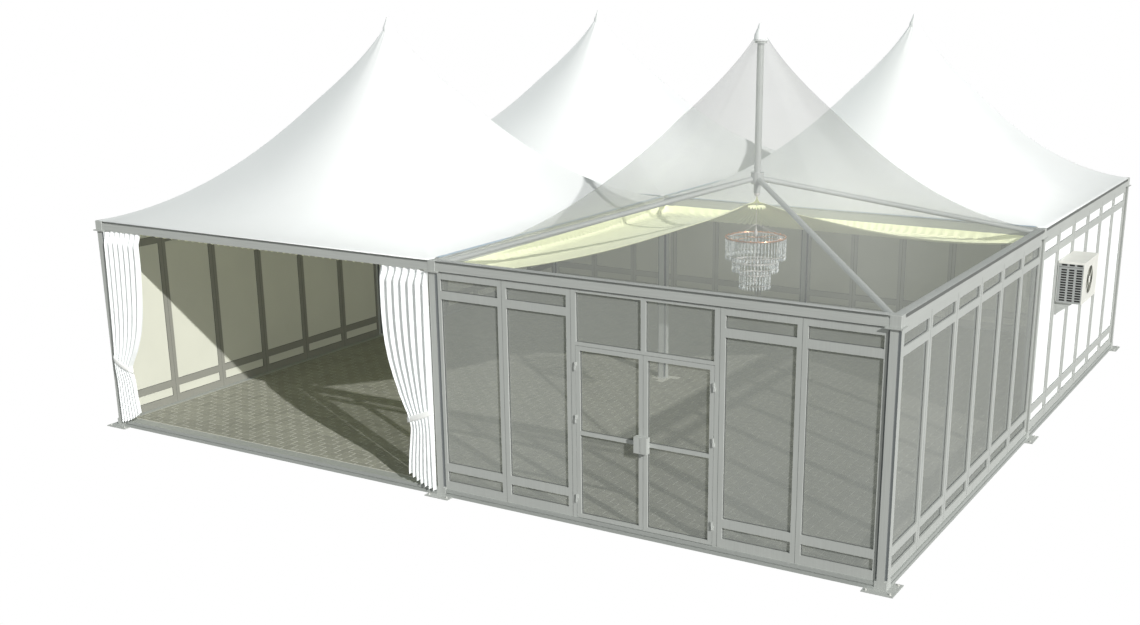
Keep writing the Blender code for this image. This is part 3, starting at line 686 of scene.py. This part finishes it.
def wall_panes(side, count, first):
    """Clear edges of each pane of a wall, along its length."""
    spans = []
    for k in range(first, first + count):
        left = MODULE_START + k * MODULE
        spans.append((left + STILE, left + MODULE - STILE))
    if side > 0:
        return spans
    return [(-high, -low) for low, high in spans]


def depths(face, proud):
    """A wall's face and what stands proud of it, in rising order."""
    return sorted((-BAY - face, -BAY - face - proud))


def panel_plates(turns, side, count, first, face, proud):
    """Thin plates over the recessed panels, on one face of a wall."""
    bm = bmesh.new()
    y0, y1 = depths(face, proud)
    m = PANEL_MARGIN
    for (x0, x1), (z0, z1) in product(wall_panes(side, count, first), WALL_ROWS):
        block(bm, (x0 + m, y0, z0 + m), (x1 - m, y1, z1 - m), 0.0008)
    turn_part(bm, turns)
    return bm


def gaskets(panes, rows, sides, wide):
    """A rubber frame round each pane, between each pair of depths."""
    bm = bmesh.new()
    m = GASKET_MARGIN
    for (x0, x1), (z0, z1), (y0, y1) in product(panes, rows, sides):
        x0, x1, z0, z1 = x0 + m, x1 - m, z0 + m, z1 - m
        left, right, foot, head = x0 + wide, x1 - wide, z0 + wide, z1 - wide
        bars = ((x0, left, z0, z1), (right, x1, z0, z1), (left, right, z0, foot), (left, right, head, z1))
        for a, b, c, d in bars:
            block(bm, (a, y0, c), (b, y1, d), 0.0008)
    return bm


def wall_gaskets(turns, side, count, first, sides, wide):
    bm = gaskets(wall_panes(side, count, first), WALL_ROWS, sides, wide)
    turn_part(bm, turns)
    return bm


for name, wall in SOLID_WALLS.items():
    for place, face, proud, look in PANEL_FACES:
        plates = piece(f"{name}_panels_{place}", panel_plates(*wall, face, proud), look)
        frames = wall_gaskets(*wall, [depths(face, proud * 1.6)], PANEL_GASKET)
        strips = piece(f"{name}_gaskets_{place}", frames, rubber)


# Joints between the wall modules: a dark line on both faces of a wall
JOINT_HALF = 0.002
JOINT_PROUD = 0.0006
JOINT_SIDES = (
    (-BAY - FRAME_OUT - JOINT_PROUD, -BAY - FRAME_OUT),
    (-BAY - FRAME_IN, -BAY - FRAME_IN + JOINT_PROUD),
)
POST_MARGIN = 0.10    # a line nearer than this to a post's grid line is left out


def module_joints(turns, side, count, first):
    bm = bmesh.new()
    low, high = FLOOR_TOP + 0.004, WALL_TOP - 0.004
    for k in range(first, first + count + 1):
        x = side * (MODULE_START + k * MODULE)
        if POST_MARGIN < abs(x) < BAY - POST_MARGIN:
            for y0, y1 in JOINT_SIDES:
                block(bm, (x - JOINT_HALF, y0, low), (x + JOINT_HALF, y1, high), 0.0002)
    turn_part(bm, turns)
    return bm


for name, wall in {**SOLID_WALLS, **GLAZED_WALLS}.items():
    lines = piece(name + "_module_joints", module_joints(*wall), rubber)
for name, wall in GLAZED_WALLS.items():
    strips = piece(name + "_gaskets", wall_gaskets(*wall, GLASS_SIDES, GLASS_GASKET), rubber)


# Floor bricks, laid in herringbone
BRICK = 0.135    # half a brick's length, and its width
END_JOINT = 0.008    # light joint at a brick's short ends, half its width
SIDE_JOINT = 0.0020
BRICK_TOP = 0.0035
FLOOR_EDGE = 5.885
POST_CLEAR = 0.100


def floor_blocks(along_x):
    """Bricks of two cells: lying along X where the diagonal count is 0 of 4, along Y where it is 2."""
    cells = int(FLOOR_EDGE / BRICK) + 2
    sizes = ((2, END_JOINT), (1, SIDE_JOINT))
    (nx, gap_x), (ny, gap_y) = sizes if along_x else reversed(sizes)
    verts, faces = [], []
    for i, j in product(range(-cells, cells), repeat=2):
        if (i + j) % 4 != (0 if along_x else 2):
            continue
        spots = i * BRICK + gap_x, (i + nx) * BRICK - gap_x, j * BRICK + gap_y, (j + ny) * BRICK - gap_y
        x0, x1, y0, y1 = (max(-FLOOR_EDGE, min(FLOOR_EDGE, v)) for v in spots)
        at_post = max(x0, -x1) < POST_CLEAR and max(y0, -y1) < POST_CLEAR
        if at_post or min(x1 - x0, y1 - y0) < 0.02:
            continue
        first = len(verts)
        for inset, z in ((0, FLOOR_TOP + 0.0003), (0, FLOOR_TOP + 0.0022), (0.0028, FLOOR_TOP + BRICK_TOP)):
            verts += [(x0 + inset, y0 + inset, z), (x1 - inset, y0 + inset, z)]
            verts += [(x1 - inset, y1 - inset, z), (x0 + inset, y1 - inset, z)]
        for level, k in product((first, first + 4), range(4)):
            faces.append((level + k, level + (k + 1) % 4, level + 4 + (k + 1) % 4, level + 4 + k))
        faces.append((first + 8, first + 9, first + 10, first + 11))
    return verts, faces


def listed_piece(name, verts, faces, look):
    """A piece from lists of points and faces."""
    mesh = bpy.data.meshes.new(name)
    mesh.from_pydata(verts, [], faces)
    mesh.materials.append(look)
    made = placed(name, mesh)
    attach(made, "marquee")
    return made


listed_piece("floor_bricks_along_x", *floor_blocks(True), brick)
listed_piece("floor_bricks_along_y", *floor_blocks(False), brick_across)


# Ceiling linings: pleated cloth, hung from the eaves and drawn up to a neck under each mast
LINING_RUN = BAY / 2 - 0.112
NECK = 0.150
NECK_Z = 3.610
NECK_TOP = (0.010, 3.764)
PLEATS = 168
PLEAT_POINTS = 4
LINING_EDGE_Z = 2.895
LINING_STEPS = 16
FRONT_LIFT = 0.036    # the front edge hangs higher, behind the eave beam
SKIRT = (0.055, 2.992)    # out from the edge and up, to the beams
SKIRT_CORNER = 0.010    # out from the edge at the posts
ROSETTE_RINGS = ((0.030, 0.0), (0.060, 0.014), (0.090, 0.022), (0.118, 0.026))    # radius and drop


def lining_rows(middle, at_front, angles):
    """Rows from the neck's top down to the edge, and the skirt behind the beams."""
    neck = NECK / LINING_RUN
    points = [(angle, math.cos(2 * math.pi * n / PLEAT_POINTS)) for n, angle in enumerate(angles)]
    rows, skirt = [], []
    for k in range(5):
        share = k / 4
        radius = NECK_TOP[0] + (NECK - NECK_TOP[0]) * share ** 6
        height = NECK_TOP[1] + (NECK_Z - NECK_TOP[1]) * share
        rows.append([polar(middle, radius + 0.004 * share * wave, angle, height) for angle, wave in points])
    for i in range(1, LINING_STEPS + 1):
        share = neck + (1 - neck) * (i / LINING_STEPS) ** 1.2
        part = min(1.0, (1 - share) / (1 - neck))
        level = LINING_EDGE_Z + (NECK_Z - LINING_EDGE_Z) * (0.05 * part + 0.95 * part * part)
        depth = min(0.013, 0.004 + 0.016 * share)
        roundness = max(0.0, 1 - share / 0.25)
        row = []
        for angle, wave in points:
            cos, sin = math.cos(angle), math.sin(angle)
            square = 1 / max(abs(cos), abs(sin))
            reach = LINING_RUN * share * (square * (1 - roundness) + roundness)
            height = level + depth * wave
            if at_front and -sin > abs(cos):
                height += FRONT_LIFT * share ** 4
            row.append(polar(middle, reach, angle, height))
            if i == LINING_STEPS:
                corner = min(abs(cos), abs(sin)) > 0.96 * max(abs(cos), abs(sin))
                out = 1 + (SKIRT_CORNER if corner else SKIRT[0]) / LINING_RUN
                rise = SKIRT[1] + 0.1 * depth * wave
                skirt.append((middle[0] + reach * cos * out, middle[1] + reach * sin * out, rise))
        rows.append(row)
    return rows + [skirt]


def rosette_rows(middle):
    """The ruffled collar under a lining's neck."""
    rows = []
    for k, (radius, drop) in enumerate(ROSETTE_RINGS):
        row = []
        for angle in angles_round(144):
            ruffle = math.sin(18 * angle + 0.6 * math.sin(5 * angle))
            height = NECK_Z - 0.004 - drop + 0.004 * (k + 1) * ruffle
            row.append(polar(middle, radius, angle, height))
        rows.append(row)
    return rows


for bay, (sx, sy) in BAYS.items():
    middle = (sx * BAY / 2, sy * BAY / 2)
    first, last, share = (45.5, 224.5, 0.5) if bay == "front_right" else (0, 360, 1.0)
    count = int(PLEATS * PLEAT_POINTS * share)
    angles = [math.radians(first + (last - first) * n / count) for n in range(count)]
    rows = lining_rows(middle, sy < 0, angles)
    made = sheet_piece("ceiling_lining_" + bay, rows, lining_cloth, closed=share == 1)
    if sum(face.normal.z for face in made.data.polygons) < 0:
        made.data.flip_normals()
    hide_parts("lining_" + bay)
    rosette = sheet_piece("lining_rosette_" + bay, rosette_rows(middle), lining_cloth, closed=True)


# Tied curtains of the open front. Edges are (height, x) points, a hem is its height and its rise
CURTAINS = {
    "curtain_left": {
        "post": ((0.05, -5.948), (1.00, -5.938), (2.97, -5.916)),
        "tie": 1.00,
        "free": ((0.10, -5.500), (0.28, -5.519), (0.52, -5.547), (0.77, -5.563), (0.95, -5.599),
                 (1.08, -5.540), (1.25, -5.439), (1.49, -5.336), (1.72, -5.275), (1.94, -5.237),
                 (2.24, -5.212), (2.53, -5.195), (2.97, -5.202)),
        "hem": (0.085, 0.19),
    },
    "curtain_right": {
        "post": ((0.05, -0.062), (1.00, -0.056), (2.97, -0.052)),
        "tie": 1.06,
        "free": ((0.10, -0.505), (0.28, -0.504), (0.54, -0.476), (0.76, -0.440), (0.91, -0.415),
                 (1.07, -0.450), (1.20, -0.522), (1.32, -0.585), (1.54, -0.670), (1.77, -0.745),
                 (2.05, -0.800), (2.38, -0.827), (2.97, -0.828)),
        "hem": (0.060, 0.20),
    },
}
FOLDS = 7
CURTAIN_STEPS = (90, FOLDS * 18)    # up, and across
CLOTH_BACK = -BAY - 0.078    # rearmost layer, just in front of the posts
# section of a tie band: up from its middle, and how far it swells
TIE_SECTION = mirrored(((-0.040, 0.0), (-0.038, 0.004), (-0.012, 0.006)))


def smooth_step(low, high, value):
    share = max(0.0, min(1.0, (value - low) / (high - low)))
    return share * share * (3 - 2 * share)


def curtain_rows(edges, seed):
    """Rows of a gathered curtain from its hem to the beam, with folds that close up at the tie."""
    rows = []
    steps, columns = CURTAIN_STEPS
    for i in range(steps + 1):
        v = i / steps
        row = []
        for n in range(columns + 1):
            u = n / columns
            low = edges["hem"][0] + edges["hem"][1] * u ** 1.5
            low += 0.012 * math.sin(2 * math.pi * FOLDS * u + 1.2)
            high = BEAM_BOTTOM - (0.016 if u < 0.16 else 0.004)
            z = low + (high - low) * v
            near = smooth_path(edges["post"], z)
            far = smooth_path(edges["free"], z)
            top = smooth_step(2.80, 2.96, z)
            tied = math.exp(-((z - edges["tie"]) / 0.22) ** 2)
            below = 1 - smooth_step(edges["tie"] - 0.30, edges["tie"], z)
            drift = 0.25 * math.sin(2.1 * z + seed + 5 * u) * (1 - top) * (1 - tied)
            phase = 2 * math.pi * FOLDS * u + drift
            crisp = (0.5 - 0.5 * math.cos(phase)) ** 0.75
            edge = min(1.0, u / 0.10)
            depth = (0.056 - 0.020 * top + 0.010 * tied - 0.012 * below) * (0.45 + 0.55 * edge)
            sway = 0.020 * math.sin(phase) * (far - near) * (1 - tied)
            y = CLOTH_BACK - depth * crisp + 0.036 * top * edge - 0.014 * math.sin(math.pi * v) * edge
            row.append((near + (far - near) * u + sway, y, z))
        rows.append(row)
    return rows


def tie_rows(edges, side):
    """The band that gathers a curtain to its post, higher on the post's side."""
    near = smooth_path(edges["post"], edges["tie"])
    far = smooth_path(edges["free"], edges["tie"])
    middle, half = (near + far) / 2, abs(far - near) / 2 + 0.012
    rows = []
    for lift, swell in TIE_SECTION:
        row = []
        for angle in angles_round(64):
            x = middle + (half + swell) * math.cos(angle)
            y = CLOTH_BACK - 0.034 + (0.046 + swell) * math.sin(angle)
            row.append((x, min(y, CLOTH_BACK + 0.002), edges["tie"] + lift + 0.38 * side * (x - middle)))
        rows.append(row)
    return rows


for number, (name, edges) in enumerate(CURTAINS.items()):
    side = -1 if name == "curtain_left" else 1
    band = sheet_piece(name + "_tie", tie_rows(edges, side), band_cloth, closed=True)
    cloth = sheet_piece(name + "_cloth", curtain_rows(edges, 1.9 * number), curtain_cloth)
    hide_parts(name)


# Chandelier: copper rings with strings of beads and prisms
LAMP = (BAY / 2, -BAY / 2)
# radius, top, bottom and number of strings of each tier
LAMP_TIERS = ((0.405, 3.190, 2.890, 54), (0.312, 2.870, 2.720, 44), (0.212, 2.700, 2.490, 32))
LAMP_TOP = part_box("chandelier")[1][2]
BEAD_PITCH = 0.024
CUP = ((0.003, -0.004), (0.008, 0.002), (0.009, 0.008), (0.004, 0.015))


def gem(verts, faces, spot, radius, half_height):
    """A cut bead: a square bipyramid."""
    first = len(verts)
    x, y, z = spot
    for dx, dy in ((1, 0), (0, 1), (-1, 0), (0, -1)):
        verts.append((x + dx * radius, y + dy * radius, z))
    verts += [(x, y, z + half_height), (x, y, z - half_height)]
    for k in range(4):
        faces.append((first + k, first + (k + 1) % 4, first + 4))
        faces.append((first + (k + 1) % 4, first + k, first + 5))


def bead_strings():
    """Two rows of strings to a tier, each of small beads over a long prism."""
    verts, faces = [], []
    for radius, top, bottom, count in LAMP_TIERS:
        for layer, inset in enumerate((0.006, 0.060)):
            strings = int(count * (radius - inset) / radius)
            for n in range(strings):
                angle = 2 * math.pi * (n + 0.5 * layer) / strings
                x, y, z = polar(LAMP, radius - inset, angle, top - 0.020)
                while z > bottom + 0.075:
                    gem(verts, faces, (x, y, z), 0.0085, BEAD_PITCH * 0.52)
                    z -= BEAD_PITCH
                gem(verts, faces, (x, y, bottom + 0.032), 0.011, 0.032)
    return verts, faces


def spokes(bm, radius, height, thick, turn):
    """Six spokes from the stem to a ring."""
    for angle in angles_round(6):
        reach = Vector(polar((0, 0), 1, angle + turn, 0))
        start = Vector((*LAMP, height)) + reach * 0.008
        lathe(bm, ((thick, 0), (thick, radius - 0.016)), start, reach, 8, True)


def lamp_ring():
    """The copper ring over the top tier, with its spokes and the cups on it."""
    bm = bmesh.new()
    radius, top = LAMP_TIERS[0][0] - 0.008, LAMP_TIERS[0][1]
    torus(bm, (*LAMP, top - 0.006), radius, 0.009, 72, 8, 1.3)
    spokes(bm, radius, top - 0.006, 0.004, 0.0)
    for angle in angles_round(24):
        lathe(bm, CUP, polar(LAMP, radius, angle, top), sides=8, smooth=True)
    return bm


def lamp_frame():
    """Pale rings of the lower tiers, the stem and the wires that carry the top ring."""
    bm = bmesh.new()
    for tier, (radius, top, bottom, _) in enumerate(LAMP_TIERS):
        torus(bm, (*LAMP, top - 0.006), radius - 0.060, 0.004, 72, 8)
        torus(bm, (*LAMP, bottom + 0.068), radius - 0.006, 0.003, 72, 6)
        if tier:
            torus(bm, (*LAMP, top - 0.006), radius - 0.008, 0.006, 72, 8)
            spokes(bm, radius, top - 0.006, 0.003, 0.3 * tier)
    low = LAMP_TIERS[-1][2]
    stem = [(0.010, low + 0.06), (0.022, low + 0.10), (0.010, low + 0.14), (0.005, low + 0.20), (0.005, 3.20)]
    stem += [(0.020, 3.22), (0.024, 3.25), (0.008, 3.29), (0.003, 3.33), (0.003, LAMP_TOP - 0.05)]
    stem += [(0.034, LAMP_TOP - 0.030), (0.038, LAMP_TOP)]
    lathe(bm, stem, (*LAMP, 0), sides=20, smooth=True)
    head = Vector((*LAMP, 3.36))
    for angle in angles_round(6):
        foot = Vector((*LAMP, LAMP_TIERS[0][1])) + Vector(polar((0, 0), 1, angle, 0)) * 0.395
        lathe(bm, ((0.0018, 0), (0.0018, (head - foot).length)), foot, head - foot, 6, True)
    return bm


lamp = piece("chandelier_ring", lamp_ring(), copper)
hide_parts("chandelier")
piece("chandelier_frame", lamp_frame(), lamp_pale)
listed_piece("chandelier_beads", *bead_strings(), crystal)


# Air conditioner
CASE_LOW, CASE_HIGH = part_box("air_conditioner")
FAN = (1.440, 2.165)
FAN_R = 0.210
SLOT_COLUMNS = ((0.049, 0.129), (0.161, 0.237), (0.271, 0.353))    # from the case's back, along X
SLOT_ROWS = 13
SLOT_PITCH = 0.038
SLOT_TOP = 2.347    # middle of the uppermost row
SLOT_HALF = 0.0125


def case_plates():
    """The sheet-metal shells over the case: top, fan side, ends and a foot strip."""
    bm = bmesh.new()
    (x0, y0, z0), (x1, y1, z1) = CASE_LOW, CASE_HIGH
    block(bm, (x0 - 0.002, y0 - 0.004, z1 - 0.028), (x1 + 0.005, y1 + 0.004, z1 + 0.004), 0.003)
    block(bm, (x0, y0 + 0.002, z0 - 0.003), (x1 + 0.004, y1 + 0.003, z0 + 0.022), 0.002)
    for y in (y0, y1 - 0.012):
        block(bm, (x1 - 0.012, y - 0.0025, z0), (x1 + 0.003, y + 0.0145, z1), 0.002)
    block(bm, (x1 - 0.001, FAN[0] + 0.235, z0 + 0.02), (x1 + 0.002, FAN[0] + 0.242, z1 - 0.03), 0.0008)
    return bm


def case_side():
    """The louvred side that faces the front."""
    bm = bmesh.new()
    (x0, y0, z0), (x1, _, z1) = CASE_LOW, CASE_HIGH
    block(bm, (x0 + 0.006, y0 - 0.002, z0 + 0.001), (x1 - 0.008, y0 + 0.001, z1 - 0.026), 0.001)
    return bm


def case_slots():
    """Dark plates that paint the shade in the louvred side's slots: three columns, a short row over them, and
    a seam.
    """
    bm = bmesh.new()
    x0, y0, _ = CASE_LOW
    bars = []
    for low, high in SLOT_COLUMNS:
        for row in range(SLOT_ROWS):
            z = SLOT_TOP - row * SLOT_PITCH
            bars.append((x0 + low, x0 + high, z - SLOT_HALF, z + SLOT_HALF))
        bars.append((x0 + low, x0 + high, 2.408, 2.436))
    bars.append((x0 + 0.01, CASE_HIGH[0] - 0.01, 2.386, 2.391))
    for left, right, low, high in bars:
        block(bm, (left, y0 - 0.0030, low), (right, y0 - 0.0015, high), 0.0003)
    return bm


def on_fan_face(bm, proud):
    """Stands flat parts up against the case's outer side, at the fan."""
    stand = Matrix.Translation((CASE_HIGH[0] + proud, *FAN)) @ Matrix.Rotation(math.pi / 2, 4, "Y")
    bmesh.ops.transform(bm, matrix=stand, verts=bm.verts)
    return bm


def fan_back():
    bm = bmesh.new()
    lathe(bm, ((FAN_R, 0), (FAN_R, 0.0008)), (0, 0, 0), sides=64)
    return on_fan_face(bm, 0.0002)


def fan_blades():
    """Four broad blades round a hub, behind the guard."""
    bm = bmesh.new()
    for n in range(4):
        start = math.pi / 2 * n + 0.35
        rows = []
        for i in range(9):
            radius = 0.048 + (FAN_R - 0.066) * i / 8
            row = []
            for k in range(7):
                angle = start + (0.30 + 0.55 * (i / 8) ** 0.5) * (k / 6 - 0.5) + 0.25 * i / 8
                row.append(polar((0, 0), radius, angle, 0.0030 * (k / 6)))
            rows.append(row)
        grid_sheet(bm, rows)
    return on_fan_face(bm, 0.0015)


def fan_guard():
    """A rolled rim, four spokes and a round hub plate."""
    bm = bmesh.new()
    torus(bm, (0, 0, 0), FAN_R + 0.002, 0.005, 72, 8, 0.6)
    for angle in angles_round(4):
        angle += math.pi / 4
        reach = Vector(polar((0, 0), 1, angle, 0))
        lathe(bm, ((0.004, 0), (0.003, FAN_R - 0.046)), reach * 0.046, reach, 8, True)
    hub = ((0.048, -0.002), (0.048, 0.001), (0.040, 0.003), (0.012, 0.004))
    lathe(bm, hub, (0, 0, 0), sides=40, smooth=True)
    return on_fan_face(bm, 0.0045)


def fan_wires():
    bm = bmesh.new()
    for k in range(9):
        torus(bm, (0, 0, 0), 0.062 + 0.0165 * k, 0.0010, 64, 5)
    return on_fan_face(bm, 0.0055)


for name, bm, look in (
    ("air_fan_wires", fan_wires(), case_dark),
    ("air_case_shells", case_plates(), case_cream),
    ("air_case_side", case_side(), case_grey),
    ("air_case_slots", case_slots(), slot_painted_shade),
    ("air_fan_back", fan_back(), case_dark),
    ("air_fan_blades", fan_blades(), blade_grey),
    ("air_fan_guard", fan_guard(), case_cream),
):
    piece(name, bm, look)


# Anchor bolts in the base plates' outer corners
ANCHOR_SIZE = 0.012
PLATE_TOP = 0.012
PLATE_HOLE = 0.140    # from a post's middle, both ways


def anchor(bm, spot, size):
    """A washer, a hexagonal nut and the thread's end."""
    nut = ((size * 0.95, 0), (size, size * 0.12), (size, size * 0.75), (size * 0.88, size * 0.9))
    thread = ((size * 0.5, size * 0.9), (size * 0.5, size * 1.45), (size * 0.4, size * 1.6))
    lathe(bm, ((size * 1.35, 0), (size * 1.35, size * 0.22)), spot, sides=20)
    base = Vector(spot) + Vector((0, 0, 1)) * size * 0.22
    lathe(bm, nut, base, sides=6)
    lathe(bm, thread, base, sides=12)


def anchors():
    bm = bmesh.new()
    grid, holes = (-BAY, 0, BAY), (-PLATE_HOLE, PLATE_HOLE)
    for col, row, dx, dy in product(grid, grid, holes, holes):
        if max(abs(col + dx), abs(row + dy)) > BAY + 0.08:
            anchor(bm, (col + dx, row + dy, PLATE_TOP), ANCHOR_SIZE)
    return bm


piece("anchor_bolts", anchors(), zinc)


# Corner covers of the eaves, over the joints of the beams
COVER_OUT = 0.0725
COVER_BACK = 0.044
COVER_HALF = 0.055
COVER_CORNER = 0.058


def eave_covers():
    bm = bmesh.new()
    low, high = BEAM_BOTTOM - 0.002, BEAM_TOP + 0.003
    outer = -BAY - COVER_OUT
    inner = -BAY + COVER_CORNER
    for turns in range(4):
        first = len(bm.verts)
        block(bm, (outer, outer, low), (inner, inner, high), 0.004)
        block(bm, (-COVER_HALF, outer, low), (COVER_HALF, -BAY + COVER_BACK, high), 0.003)
        turn_part(bm, turns, first)
    return bm


piece("eave_corner_covers", eave_covers(), alu_up)


# Glazing gaskets of the doors and the lights over them
LEAF_ROWS = ((0.152, 1.171), (1.219, 2.225))
LEAF_EDGE = 0.055 - 0.0203   # clear edge of a leaf's panes, from its glass's edge
LIGHT_ROWS = ((2.327, 2.926),)
LIGHT_EDGE = 0.012
LIGHT_MULLION = 0.033
for name in ("door_left", "door_right"):
    low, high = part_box(name + "_glass")
    panes = [(low[0] + LEAF_EDGE, high[0] - LEAF_EDGE)]
    strips = gaskets(panes, LEAF_ROWS, GLASS_SIDES, PANEL_GASKET)
    piece(name + "_gaskets", strips, rubber, body=name)
low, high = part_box("door_transom_frame")
lights = [(low[0] + LIGHT_EDGE, BAY / 2 - LIGHT_MULLION), (BAY / 2 + LIGHT_MULLION, high[0] - LIGHT_EDGE)]
strips = gaskets(lights, LIGHT_ROWS, GLASS_SIDES, PANEL_GASKET)
piece("door_transom_gaskets", strips, rubber)


# Camera, solved from the photo
camera = placed("camera", bpy.data.cameras.new("camera"))
camera.location = (10.488, -19.431, 6.394)
camera.rotation_euler = (math.radians(72.996), 0, math.radians(29.478))
camera.data.lens = 43.40
camera.data.sensor_width = 36
camera.data.shift_x = -0.0589
camera.data.shift_y = 0.0795
scene.camera = camera


# Light: one hard sun from the right, and an even sky that the camera sees as white
def sun_from(direction, name, level):
    """A light that shines evenly from a direction."""
    made = placed(name, bpy.data.lights.new(name, "SUN"))
    made.data.energy = level
    made.rotation_euler = Vector(direction).to_track_quat("Z", "Y").to_euler()
    return made


sun = sun_from((1.85, -1.0, 1.10), "sun", 4.2)
sun.data.angle = math.radians(0.6)

# part of the sky's light also reaches the inside, from every side and without shadows: where each
# light comes from, its level and its colour
SKY_FILLS = (
    ((1, 0, 0), 0.15, (1.0, 1.0, 1.02)),
    ((-1, 0, 0), 0.20, (0.86, 1.0, 1.08)),
    ((0, -1, 0), 0.13, (0.97, 1.0, 1.00)),
    ((0, 1, 0), 0.14, (0.95, 1.0, 0.98)),
    ((0, 0, 1), 0.065, (0.95, 1.0, 1.05)),
    ((0, 0, -1), 0.05, (1.0, 1.0, 0.98)),
)
for number, (direction, level, colour) in enumerate(SKY_FILLS):
    fill = sun_from(direction, f"sky_fill_{number}", level * math.pi)
    fill.data.color = colour
    fill.data.use_shadow = False
    fill.visible_glossy = False
SKY_LEVEL = 0.30


def seen_white(owner, colour, kind, output):
    """Makes the sky or the ground give off an even light, and look plain white to the camera."""
    owner.use_nodes = True
    tree = owner.node_tree
    path = tree.nodes.new("ShaderNodeLightPath")
    mix = tree.nodes.new("ShaderNodeMixShader")
    tree.links.new(path.outputs["Is Camera Ray"], mix.inputs["Fac"])
    for socket, shade, level in ((1, colour, SKY_LEVEL), (2, (1, 1, 1), 1)):
        glow = tree.nodes.new(kind)
        glow.inputs["Color"].default_value = (*shade, 1)
        glow.inputs["Strength"].default_value = level
        tree.links.new(glow.outputs[0], mix.inputs[socket])
    tree.links.new(mix.outputs[0], tree.nodes[output].inputs["Surface"])


scene.world = bpy.data.worlds.new("sky")
seen_white(scene.world, (0.93, 1.0, 0.97), "ShaderNodeBackground", "World Output")
paper = bpy.data.materials.new("ground_paper")
seen_white(paper, (1.0, 1.0, 0.98), "ShaderNodeEmission", "Material Output")
ground = placed("ground", bpy.data.meshes.new("ground"))
bm = bmesh.new()
bmesh.ops.create_grid(bm, x_segments=1, y_segments=1, size=300)
bmesh.ops.translate(bm, verts=bm.verts, vec=(0, 0, -0.001))
bm.to_mesh(ground.data)
bm.free()
ground.data.materials.append(paper)

scene.view_settings.view_transform = "Standard"
